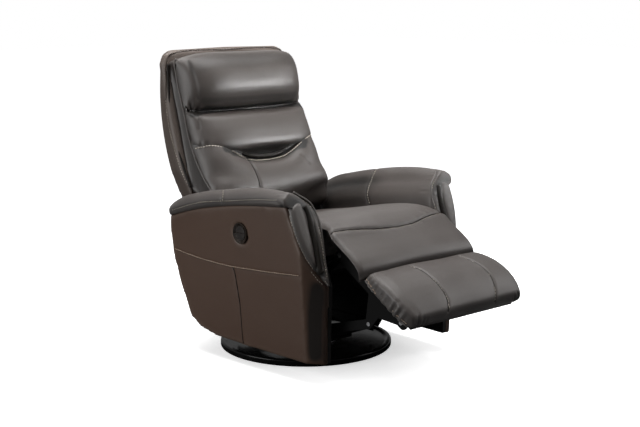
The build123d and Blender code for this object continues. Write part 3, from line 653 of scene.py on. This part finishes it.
backSeams = {
    "pleats": (  # x, line, width and depth
        (256, ((294, 800), (306, 840), (320, 866)), 8, 2.5),
        (254, ((308, 905), (316, 950), (336, 1000), (364, 1040)), 9, 3.0),
    ),
    "gathers": (  # line, pitch, reach, depth and seed
        (((281, 352, 872), (262, 330, 871), (236, 322, 870)), 15, 17, 3.0, 6),
        (((279, 290, 742), (262, 262, 744), (240, 246, 744)), 20, 13, 1.6, 9),
        (((280, 186, 570), (272, 172, 556), (240, 158, 546)), 22, 16, 2.0, 11),
    ),
    "upright": [(-99, y, z) for y, z in ((222, 681), (186, 658), (160, 620), (144, 588), (142, 540))],
    "uprightCord": [(-99, y, z) for y, z in ((220, 679), (184, 658), (158, 620), (144, 588), (140, 540))],
    "pucker": ((147, 190, 676), (175, 172, 645)),
}
backObj = backCover()
swell(backObj, length=250, depth=1.6, seed=3)
for sign in (-1, 1):
    for x, line, width, depth in backSeams["pleats"]:
        groove(backObj, [(sign * x, y, z) for y, z in line], width, depth)
    for line, *fold in backSeams["gathers"]:
        gathers(backObj, mirrored(line, sign), *fold)
groove(backObj, backSeams["upright"], width=4.5, depth=5.0)
groove(backObj, backSeams["pucker"], width=5, depth=3.0)
print("back built")

# the leg rest's own axes: along its slope from the hinge, and square to it
slope = math.radians(31.6)
hingeAt = np.array((-430.0, 434.0))


def restPoint(along, square):
    return hingeAt + along * np.array((-math.cos(slope), -math.sin(slope))) + square * np.array(
        (-math.sin(slope), math.cos(slope))
    )


def restLine(pairs):
    return tuple(tuple(restPoint(a, n)) for a, n in pairs)


# seat and chaise are one run of leather: spine along the top at the middle, with its thickness;
# a pair of values is for the seat and for the chaise
seatRun = {
    "half": (264, 284), "crown": (8, 11), "edge": (22, 11), "tuck": (3, 26), "turn": (0.14, 0.07),
    "restFrom": -350, "restOver": 70, "widenFrom": -398, "widenOver": 56,
    "bunch": 2.2, "roll": 2.4,  # points closer together at the sides, and how late the edge turns
    "underLift": 12.0, "underFrom": 0.93,
    "top": (
        (148, 446), (146, 458), (132, 467), (100, 475), (37, 487), (-60, 505), (-124, 518), (-228, 538),
        (-300, 547), (-350, 548), (-392, 543),
    ) + restLine(((-45, 82), (0, 80), (36, 80), (76, 80), (112, 76), (138, 66), (152, 46))),
    "under": (
        (146, 400), (144, 398), (128, 398), (96, 398), (37, 398), (-60, 398), (-124, 398), (-228, 398),
        (-290, 398), (-318, 408), (-336, 424),
    ) + restLine(((-34, 14), (-4, 38), (36, 31), (76, 25), (112, 21), (138, 20), (151, 24))),
    "seam": (
        (-274, -424, 511), (-240, -430, 519), (-155, -444, 517), (-74, -458, 510), (19, -463, 508),
        (100, -456, 511), (169, -440, 517), (240, -428, 519), (274, -420, 511),
    ),
}


def seatChaise():
    top = curveThrough(seatRun["top"], 190)
    under = curveThrough(seatRun["under"], 190)
    v = np.linspace(-1, 1, 110)
    shape = [seatRun[key] for key in ("crown", "edge", "tuck", "turn")]
    narrow, wide = seatRun["half"]
    loops = []
    for p, q in zip(top, under):
        onRest = ease((seatRun["restFrom"] - p[0]) / seatRun["restOver"])
        crown, edge, tuck, turn = (a + (b - a) * onRest for a, b in shape)
        half = narrow + (wide - narrow) * ease((seatRun["widenFrom"] - p[0]) / seatRun["widenOver"])
        thick = np.linalg.norm(p - q)
        up = (p - q) / thick
        u = np.sign(v) * (1 - (1 - np.abs(v)) ** seatRun["bunch"])
        roll = np.maximum(0, (np.abs(u) - 1 + turn) / turn) ** seatRun["roll"]
        drop = crown * u**2 + np.minimum(edge, 0.8 * thick) * roll
        upper = np.c_[u * half, p - up * drop[:, None]]
        w = np.linspace(1, -1, 40)
        outer = np.maximum(0, (np.abs(w) - seatRun["underFrom"]) / (1 - seatRun["underFrom"]))
        low = np.minimum(seatRun["underLift"], 0.25 * thick) * outer**2
        lower = np.c_[w * (half - tuck), q + up * low[:, None]]
        loops.append(np.concatenate([upper, lower]))
    return loft("seat_chaise_cover", loops)


seatObj = seatChaise()
swell(seatObj, length=240, depth=1.8, seed=12)
groove(seatObj, seatRun["seam"], width=6.5, depth=5.0)
gathers(seatObj, seatRun["seam"], pitch=46, reach=26, depth=0.8, seed=31)

footPad = {
    "barrel": ((150, 0.96), (200, 1.01), (279, 1.04), (340, 1.025), (392, 0.96), (410, 0.93)),  # width along it
    "puff": 13, "puffFrom": 15, "puffOver": 45, "start": 150, "length": 250,
    "seams": (
        ((-98, -612, 402), (-90, -656, 392), (-89, -702, 373), (-89, -746, 347), (-94, -778, 320), (-112, -802, 290)),
        ((150, -612, 402), (158, -656, 391), (165, -700, 371), (160, -749, 342), (140, -785, 312), (122, -803, 283)),
    ),
    "edge": [(276, y, z) for y, z in restLine(((162, 50), (220, 50), (290, 49), (350, 47), (384, 42)))],
    "corner": [(x, *restPoint(a, n)) for x, a, n in ((262, 380, 60), (236, 392, 58), (206, 398, 54))],
    "cord": [(274, y, z) for y, z in restLine(((160, 34), (220, 35), (290, 36), (350, 36), (388, 34)))],
}
footObj = softCopy("foot_pad_cover", "foot_pad", voxel=4, rounds=10)
c = coords(footObj)
along = -(c[:, 1] - hingeAt[0]) * math.cos(slope) - (c[:, 2] - hingeAt[1]) * math.sin(slope)
square = (hingeAt[0] - c[:, 1]) * math.sin(slope) + (c[:, 2] - hingeAt[1]) * math.cos(slope)
barrel = curveThrough(footPad["barrel"], 200)
c[:, 0] *= np.interp(along, barrel[:, 0], barrel[:, 1])
arch = np.sin(np.pi * np.clip((along - footPad["start"]) / footPad["length"], 0, 1)) ** 0.6
puff = footPad["puff"] * ease((square - footPad["puffFrom"]) / footPad["puffOver"]) * arch
c[:, 1] -= puff * math.sin(slope)
c[:, 2] += puff * math.cos(slope)
setCoords(footObj, c)
swell(footObj, length=170, depth=1.8, seed=14)
for line in footPad["seams"]:
    groove(footObj, line, width=4.2, depth=4.5)
for sign in (-1, 1):
    gathers(footObj, mirrored(footPad["edge"], sign), pitch=24, reach=24, depth=2.4, seed=17)
    gathers(footObj, mirrored(footPad["corner"], sign), pitch=22, reach=18, depth=2.4, seed=23)
print("seat and leg rest built")

# arms: lip and crest of the rolled pad along its length, from the facing to the rear, the ring round it,
# and the lines on it
armRoll = {
    "stations": (
        (-344, 606, 649), (-230, 596, 651), (-110, 582, 640), (0, 565, 622), (130, 541, 597), (230, 516, 571),
        (286, 499, 545),
    ),
    "section": (
        (268, -88, 0), (270, -66, 0), (277, -36, 0), (296, -10, 0), (322, 12, 0), (350, 10, 0.55), (378, 0, 1),
        (397, -8, 0.95), (407, 10, 0.35), (408, 3, 0.1), (403, -1, 0), (385, 1, 0), (368, 1, 0), (362, -40, 0),
        (360, -88, 0), (315, -88, 0),
    ),
    "lean": 0.34, "leanOver": 110, "leanAbout": 622,
    "lines": {
        "cross": (
            (407, -20, 580), (403, -18, 603), (385, 4, 618), (345, -3, 604), (319, -14, 577), (282, -40, 530),
            (268, -60, 500),
        ),
        "side": ((404, 276, 514), (406, 107, 562), (406, -59, 588), (406, -247, 615), (405, -316, 621)),
        # cap, inner, crest and under are lines for painted light and shade
        "cap": ((404, -346, 606), (384, -348, 622), (352, -350, 620), (326, -350, 600), (300, -350, 570)),
        "inner": ((280, 220, 480), (276, 130, 520), (276, 40, 550)),
        "crest": ((384, 130, 600), (384, 0, 628), (384, -110, 646), (384, -230, 656), (384, -300, 654)),
        "under": ((405, 276, 500), (408, 107, 550), (408, -59, 576), (408, -247, 600), (406, -330, 606)),
        "fore": (
            (407, -315, 611), (404, -310, 634), (384, -306, 648), (350, -312, 634), (322, -318, 614),
            (288, -326, 574),
        ),
    },
}
# lines on the front of each arm: x, then up and out from the sloping plane of the facing
facingFoot = (-440, 335)
facingLean = (0.3508, 0.9365)


def frontLine(points):
    (y, z), (back, rise) = facingFoot, facingLean
    return [(x, y + back * up - rise * out, z + rise * up + back * out) for x, up, out in points]


armFront = {
    "lines": {
        "outer": frontLine((
            (398, 286, 4), (397, 240, 6), (391, 190, 6), (383, 143, 6), (369, 90, 6), (344, 36, 6), (318, 6, 8),
        )),
        "channel": frontLine((
            (326, 280, 16), (321, 250, 20), (320, 200, 22), (321, 145, 22), (326, 90, 22), (330, 46, 18),
        )),
        "welt": frontLine((
            (350, 332, 2), (334, 318, 5), (318, 306, 8), (298, 288, 10), (285, 255, 11), (280, 192, 12),
            (286, 142, 12), (295, 85, 12), (303, 25, 12), (305, 4, 10),
        )),
        # field is a line for painted light on the facing pad
        "field": frontLine(((352, 20, 8), (352, 150, 8), (352, 280, 8))),
    },
    "reach": ((-40, 0), (40, 0), (100, 6), (150, 15), (192, 20), (240, 17), (290, 6), (330, 0)),  # inner edge
    "reachFrom": 332, "reachOver": 32,
}
armPanel = {
    "proud": 1.6,
    "lines": {
        "seam": (
            (387, 290, 371), (387, 279, 370), (386, 195, 362), (386, 138, 358), (385, 53, 355), (383, -40, 355),
            (381, -136, 360), (378, -238, 366), (374, -385, 377),
        ),
        # corner is a line for painted shade down the panel's front corner
        "corner": ((330, -438, 330), (345, -438, 240), (348, -438, 150), (345, -436, 60)),
        "upright": (
            (382, -46, 352), (382, -50, 344), (378, -60, 292), (372, -69, 221), (365, -70, 130), (362, -72, 82),
        ),
    },
}


def armPad(name, sign):
    line = curveThrough(armRoll["stations"], 90)
    front = armRoll["stations"][0][0]
    loops = []
    for y, lip, crest in line:
        ring = []
        for x, rise, share in armRoll["section"]:
            ring.append((sign * x, y, lip + rise + (crest - lip) * share))
        ring.append(ring[0])
        ring = curveThrough(ring, 97)[:-1]
        lean = 1 - ease((y - front) / armRoll["leanOver"])
        ring[:, 1] += lean * (ring[:, 2] - armRoll["leanAbout"]) * armRoll["lean"]
        loops.append(ring)
    return loft(name, loops, dome=7)


def armFacing(name, node, sign):
    face = softCopy(name, node, voxel=4, rounds=5)
    c = coords(face)
    up = (c[:, 1] - facingFoot[0]) * facingLean[0] + (c[:, 2] - facingFoot[1]) * facingLean[1]
    reach = curveThrough(armFront["reach"], 200)
    inner = ease((armFront["reachFrom"] - np.abs(c[:, 0])) / armFront["reachOver"])
    c[:, 0] -= sign * np.interp(up, reach[:, 0], reach[:, 1]) * inner
    setCoords(face, c)
    return face


armObjs, trims, armLightAndShade = [], [], []


def trim(obj, mat, slot, body):
    trims.append((obj, mat, slot, body))


for side, sign in (("left", 1), ("right", -1)):
    lines = {
        key: mirrored(points, sign)
        for piece in (armRoll, armFront, armPanel)
        for key, points in piece["lines"].items()
    }
    roll = armPad("arm_roll_" + side, sign)
    swell(roll, length=200, depth=1.2, seed=20)
    groove(roll, lines["cross"], width=4.5, depth=3.2)
    groove(roll, lines["side"], width=5, depth=3.0)
    gathers(roll, lines["fore"], pitch=15, reach=15, depth=1.5, seed=27)
    panel = softCopy("arm_panel_" + side, "arm_outer_" + side, voxel=6, rounds=4)
    setCoords(panel, coords(panel) + normals(panel) * armPanel["proud"])
    groove(panel, lines["seam"], width=4, depth=1.2)
    groove(panel, lines["upright"], width=4, depth=3.0)
    face = armFacing("arm_front_" + side, "arm_facing_" + side, sign)
    # a near-black cord sunk in the facing's channel paints the shade there
    channelShade = piping("front_channel_shade_" + side, lines["channel"], radius=12, tree=surfaceOf(face), lift=-9.5)
    groove(face, lines["channel"], width=15, depth=13.0)
    armObjs += [
        (roll, "arm_pad_" + side, hide),
        (panel, "arm_outer_" + side, hideSide),
        (face, "arm_facing_" + side, hide),
    ]
    skin = surfaceOf(roll, panel, face)
    trim(piping("arm_welt_" + side, lines["welt"], radius=4.2), hide, "hide", "seat")
    rows = [
        lines["outer"],
        [(x + sign * 7, y, z) for x, y, z in lines["welt"]],
        [(x, y - 3, z) for x, y, z in lines["cross"]],
        [(x, y, z + 4) for x, y, z in lines["side"]],
    ]
    trim(stitches("arm_stitches_" + side, rows, skin, radius=1.3), thread, None, "seat")
    rows = [[(x, y, z + 1) for x, y, z in lines["seam"]]]
    sewn = stitches("panel_stitches_" + side, rows, skin, pitch=10, length=8.5, radius=1.8, lift=0.9)
    trim(sewn, threadTan, None, "seat")
    # a near-black cord along the panel's upright seam paints its shade
    fold = piping("panel_seam_shade_" + side, lines["upright"], radius=1.8, tree=skin, lift=0.2)
    trim(fold, paintedShadeHide, "hide_side", "seat")
    trim(channelShade, paintedShadeHide, "hide", "seat")
    armLightAndShade += [  # painted light and shade on the arms: piece, line, width and how much darker, a negative amount painting light
        (face, lines["channel"], 18, 0.8),
        (face, lines["field"], 120, -0.2),
        (roll, lines["inner"], 120, 0.34),
        (roll, lines["crest"], 38, -0.22),
        (roll, lines["cap"], 24, 0.6),
        (roll, lines["under"], 9, 0.45),
        (panel, lines["seam"], 5, 0.15),
        (panel, lines["corner"], 34, 0.35),
        (panel, lines["corner"], 62, 0.16),
    ]
shellObj = softCopy("back_shell_cover", "back_shell", voxel=6, rounds=6)
rearObj = softCopy("rear_cover", "rear_panel", voxel=6, rounds=3)
print("arms and shell built")

# cords and threads of the back
backTrim = {
    "piping": ((190, 575), (215, 595), (279, 670), (319, 740), (364, 875), (386, 938), (403, 1003), (409, 1034)),
    "pipingX": 282, "pipingTop": (274, 408, 1052),
    "shellEdge": ((323, 583), (358, 643), (393, 714), (422, 787), (443, 897), (448, 971), (450, 1030)),
    "shellX": 299, "gapX": 289,
    "welt": (
        (-296, 446, 900), (-297, 448, 971), (-294, 450, 1030), (-280, 452, 1060), (-250, 452, 1071), (0, 452, 1076),
    ),
    "lumbar": (
        (281, 310, 731), (266, 276, 741), (248, 256, 746), (226, 244, 744), (201, 236, 736), (180, 234, 725),
        (158, 232, 713), (115, 229, 692), (89, 228, 683), (0, 226, 675),
    ),
    "hollow": ((-112, 242, 705), (-86, 231, 695), (0, 226, 685), (86, 231, 695), (112, 242, 705)),
}
backSkin = surfaceOf(backObj)
shellSkin = surfaceOf(shellObj)
for side, sign in (("left", 1), ("right", -1)):
    line = [(backTrim["pipingX"], y, z) for y, z in backTrim["piping"]] + [backTrim["pipingTop"]]
    trim(piping("back_piping_" + side, mirrored(line, sign), radius=3.4), hide, "hide", "backrest")
    # a near-black cord in the gap between shell and cushion paints the shade there
    line = [(sign * backTrim["gapX"], y - 9, z) for y, z in backTrim["shellEdge"]]
    trim(piping("shell_gap_shade_" + side, line, radius=4.5), paintedShadeHide, "hide_side", "backrest")
    line = [(sign * backTrim["shellX"], y + 3, z) for y, z in backTrim["shellEdge"]]
    trim(stitches("shell_stitches_" + side, [line], shellSkin), thread, None, "backrest")
over = list(backTrim["welt"]) + mirrored(reversed(backTrim["welt"][:-1]), -1)
trim(piping("shell_welt", over, radius=3.6, tree=shellSkin, lift=1.2), hideShell, "hide_side", "backrest")
lumbarRow = mirrored(backTrim["lumbar"], -1) + list(reversed(backTrim["lumbar"][:-1]))
rows = [[(x, y - 11, z - 5) for x, y, z in lumbarRow]]
sewn = stitches("back_stitches", rows, backSkin, pitch=10.5, length=8.5, radius=1.9, lift=0.9)
trim(sewn, thread, None, "backrest")
# a near-black cord in the lumbar hollow paints its shade
trim(piping("lumbar_shade_cord", backTrim["hollow"], radius=8), paintedShadeHide, "hide", "backrest")
backPaintedShade = [  # painted shade under the pillows' lips, in the creases, on the head's top and over the middle pillow: line, width and how much darker
    (rowAt((-190, -120, 0, 120, 190), 236, 692), 17, 0.8),
    (rowAt((-170, -90, 0, 90, 170), 222, 714), 13, 0.35),
    (rowAt((-260, -150, 0, 150, 260), 318, 862), 16, 0.8),
    (rowAt((-230, -120, 0, 120, 230), 284, 888), 22, 0.3),
    (rowAt((-240, -120, 0, 120, 240), 318, 1046), 48, 0.3),
    ([(x, y - 4, z) for x, y, z in lumbarRow if abs(x) < 160], 14, 0.6),
    (rowAt((-240, 0, 240), 215, 790), 150, 0.07),
    ([(-272, y, z) for y, z in backTrim["piping"]], 26, 0.16),
]

# near-black cords paint the shade in the crease between the leg rest's two pads and in the back's upright seam
crease = rowAt((-262, -150, 0, 150, 262), *restPoint(160, 36))
trim(piping("rest_crease_shade", crease, radius=7), paintedShadeHide, "hide", "legrest")
fold = piping("back_seam_shade", backSeams["uprightCord"], radius=1.9, tree=backSkin, lift=0.1)
trim(fold, paintedShadeHide, "hide", "backrest")

# a thin dark sheet closes the gap between the seat's rear edge and the underside of the back and paints the shade
# there
tuckFlap = {
    "half": 260, "thick": 5,
    "path": ((150, 449), (153, 436), (164, 424), (182, 424), (196, 440), (203, 460), (206, 472)),
}


def flapMesh(steps=30, across=40):
    line = curveThrough(tuckFlap["path"], steps)
    xs = np.linspace(-tuckFlap["half"], tuckFlap["half"], across)
    loops = []
    for p, t in zip(line, np.gradient(line, axis=0)):
        n = np.array((-t[1], t[0])) / np.linalg.norm(t) * tuckFlap["thick"] / 2
        upper, lower = np.tile(p + n, (across, 1)), np.tile(p - n, (across, 1))
        loops.append(np.concatenate([np.c_[xs, upper], np.c_[xs[::-1], lower]]))
    return loft("tuck_flap", loops)


flapObj = flapMesh()

# cords and threads of the leg rest and the seat
footSkin = surfaceOf(footObj)
# near-black cords in the foot pad's seams paint their shade
for label, line in zip("ab", footPad["seams"]):
    fold = piping("foot_seam_shade_" + label, line, radius=1.7, tree=footSkin, lift=0.1)
    trim(fold, paintedShadeHide, "hide", "legrest")
rows = [[(x + aside, y, z) for x, y, z in line] for line, aside in zip(footPad["seams"], (6, -5))]
trim(stitches("foot_stitches", rows, footSkin), thread, None, "legrest")
for side, sign in (("right", -1), ("left", 1)):
    low = mirrored(footPad["cord"], sign)
    trim(piping("foot_cord_" + side, low, radius=3.0, tree=footSkin, lift=1.0), hide, "hide", "legrest")
    rows = [[(x, y, z + 9) for x, y, z in low]]
    sewn = stitches("foot_edge_" + side, rows, footSkin, pitch=9, length=8.2, radius=1.3)
    trim(sewn, threadTan, None, "legrest")
seatSkin = surfaceOf(seatObj)
rows = [[(x, y - 5, z - 3) for x, y, z in seatRun["seam"]]]
seamThread = stitches("seat_seam_stitches", rows, seatSkin, radius=0.7)
# a near-black cord in the seat's seam paints its shade
seamShade = piping("seat_seam_shade", seatRun["seam"], radius=2.0, tree=seatSkin, lift=0.1)
print("seams sewn")

# wear with painted light and shade, finishes, and what each piece rides on
markWearAndShade(backObj, rounds=30, scale=6)
for line, width, amount in backPaintedShade:
    paintLightAndShade(backObj, line, width, amount)
# painted shade: the walls at the cover's two ends take a low wear-and-shade value
wearAndShade = backObj.data.attributes["wearAndShade"]
caps = len(capShrink)
wall = caps * len(wearAndShade.data) // (backRun["slices"] + 2 * caps)
for k in list(range(wall)) + list(range(len(wearAndShade.data) - wall, len(wearAndShade.data))):
    wearAndShade.data[k].value = backRun["wallShade"]
dress(backObj, hide, "backrest")
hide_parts("head_pillow", "mid_pillow", "lower_back_cushion")

markWearAndShade(footObj, rounds=30, scale=6)
# painted light over the foot pad's top, painted shade on its lower front
paintLightAndShade(footObj, rowAt((-160, 0, 200), *restPoint(280, 84)), width=110, amount=-0.2)
paintLightAndShade(footObj, rowAt((-230, 0, 230), *restPoint(402, 34)), width=42, amount=0.2)
dress(footObj, hide, "legrest")
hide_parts("foot_pad")

markWearAndShade(seatObj, rounds=30, scale=6)
# painted light over the seat and the chaise top, painted shade along the chaise's near edges and its front roll
paintLightAndShade(seatObj, rowAt((-160, 0, 170), -240, 540), width=150, amount=-0.62)
for sign in (-1, 1):
    top = [(sign * 110, y, z) for y, z in restLine(((0, 82), (60, 82), (130, 82)))]
    paintLightAndShade(seatObj, top, width=150, amount=-0.1)
    edge = [(sign * 276, y, z) for y, z in restLine(((-10, 60), (60, 58), (140, 48)))]
    paintLightAndShade(seatObj, edge, width=22, amount=0.12)
paintLightAndShade(seatObj, rowAt((-240, 0, 240), *restPoint(145, 58)), width=16, amount=0.12)
dress(seatObj, hide)
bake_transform(seatObj)
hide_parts("seat_cushion", "chaise_pad")

dress(flapObj, liner)
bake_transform(flapObj)
markWearAndShade(seamShade, rounds=12, scale=3)
dress(seamShade, paintedShadeHide)
dress(seamThread, thread)
for obj in (seamThread, seamShade):
    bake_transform(obj)
for obj, node, mat in armObjs:
    markWearAndShade(obj, rounds=30, scale=6)
    for soft, line, width, amount in armLightAndShade:
        if soft == obj:
            paintLightAndShade(obj, line, width, amount)
    dress(obj, mat, "seat")
    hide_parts(node)
for obj, node, mat, body in (
    (shellObj, "back_shell", hideShell, "backrest"),
    (rearObj, "rear_panel", hideSide, "seat"),
):
    markWearAndShade(obj, rounds=30, scale=6)
    dress(obj, mat, body)
    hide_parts(node)
for obj, mat, slot, body in trims:
    if mat not in (thread, threadTan):
        markWearAndShade(obj, rounds=12, scale=3)
    dress(obj, mat, body)

# the CAD's own pieces take their slot's finish
slotOf = {entry["node"]: entry["material_slot"] for entry in frame["record"]["subparts"]}
for name, node in nodes.items():
    mat = bySlot.get(slotOf.get(name), steelBlack)
    node.data.materials.clear()
    node.data.materials.append(mat)
print("finishes given")

# floor: white to the camera apart from the object's own shadow, a dim grey to everything else
studio = {
    "floorReach": 20000, "floorSeen": 0.9, "floorUnseen": 0.1,
    "glow": {"low": 0.33, "high": 0.62, "toLow": 0.62, "toHigh": 1.0},  # by distance from the middle, in metres
    "worldSeen": 1.0, "worldLight": 0.04, "worldShine": 0.28,
}


def grey(value):
    return (value, value, value, 1)


far = studio["floorReach"]
floor = newObject("floor", ((-far, -far, 0), (far, -far, 0), (far, far, 0), (-far, far, 0)), [[0, 1, 2, 3]])
floorMat, tree, shader, spot = newMaterial("floorPale")
seenBy = tree.nodes.new("ShaderNodeLightPath").outputs["Is Camera Ray"]
tone = mixColour(tree, seenBy, grey(studio["floorUnseen"]), grey(studio["floorSeen"]))
tree.links.new(tone, shader.inputs["Base Color"])
away = tree.nodes.new("ShaderNodeVectorMath")
away.operation = "LENGTH"
tree.links.new(spot, away.inputs[0])
lift = ramp(tree, away.outputs["Value"], **studio["glow"])
glow = mixColour(tree, math2(tree, "MULTIPLY", lift, seenBy), grey(0), grey(1))
tree.links.new(glow, shader.inputs["Emission Color"])
shader.inputs["Emission Strength"].default_value = 1.0
shader.inputs["Roughness"].default_value = 0.9
shader.inputs["Specular IOR Level"].default_value = 0.0
floor.data.materials.append(floorMat)

# world: white behind the floor, dimmer as seen by reflections and as light
world = bpy.data.worlds.new("studio")
scene.world = world
world.use_nodes = True
tree = world.node_tree
path = tree.nodes.new("ShaderNodeLightPath")
seen = tree.nodes["Background"]
lit = tree.nodes.new("ShaderNodeBackground")
shine = tree.nodes.new("ShaderNodeBackground")
for shade, key in ((seen, "worldSeen"), (lit, "worldLight"), (shine, "worldShine")):
    shade.inputs["Color"].default_value = grey(1)
    shade.inputs["Strength"].default_value = studio[key]
glossy = tree.nodes.new("ShaderNodeMixShader")
mixed = tree.nodes.new("ShaderNodeMixShader")
tree.links.new(path.outputs["Is Glossy Ray"], glossy.inputs[0])
tree.links.new(lit.outputs[0], glossy.inputs[1])
tree.links.new(shine.outputs[0], glossy.inputs[2])
tree.links.new(path.outputs["Is Camera Ray"], mixed.inputs[0])
tree.links.new(glossy.outputs[0], mixed.inputs[1])
tree.links.new(seen.outputs[0], mixed.inputs[2])
tree.links.new(mixed.outputs[0], tree.nodes["World Output"].inputs["Surface"])

# metres, watts and degrees; the canopy lights without showing as a highlight
lights = {
    "strip": {"place": (1.9, -1.9, 0.98), "target": (0, 0.3, 0.92), "size": (0.4, 0.2), "power": 1.7, "spread": 26},
    "side": {"place": (3.0, -1.7, 2.2), "target": (0, 0.1, 0.7), "size": (1.7, 1.5), "power": 24},
    "overhead": {"place": (0.1, 0.1, 3.2), "target": (0, -0.1, 0.5), "size": (2.6, 2.2), "power": 52},
    "canopy": {
        "place": (0.1, -0.1, 3.2), "target": (0, -0.3, 0.5), "size": (2.6, 2.2), "power": 140, "shine": False,
    },
    "fill": {"place": (-3.4, 0.9, 1.1), "target": (0, 0, 0.45), "size": (2.2, 1.8), "power": 52},
}


def softbox(name, place, target, size, power, spread=180, shine=True):
    light = bpy.data.lights.new(name, "AREA")
    light.shape = "RECTANGLE"
    light.size, light.size_y = size
    light.energy = power
    light.spread = math.radians(spread)
    obj = bpy.data.objects.new(name, light)
    scene.collection.objects.link(obj)
    obj.visible_glossy = shine
    obj.location = place
    obj.rotation_euler = (Vector(target) - Vector(place)).to_track_quat("-Z", "Y").to_euler()


for name, look in lights.items():
    softbox(name, **look)

view = {"place": (-3.175, -3.512, 1.327), "tilt": 79.99, "turn": -42.75, "lens": 73.49, "sensor": 36}
camera = bpy.data.cameras.new("camera")
camera.sensor_width = view["sensor"]
camera.lens = view["lens"]
cameraObj = bpy.data.objects.new("camera", camera)
scene.collection.objects.link(cameraObj)
cameraObj.location = view["place"]
cameraObj.rotation_euler = (math.radians(view["tilt"]), 0, math.radians(view["turn"]))
scene.camera = cameraObj
scene.view_settings.view_transform = "Standard"
print("stage set")
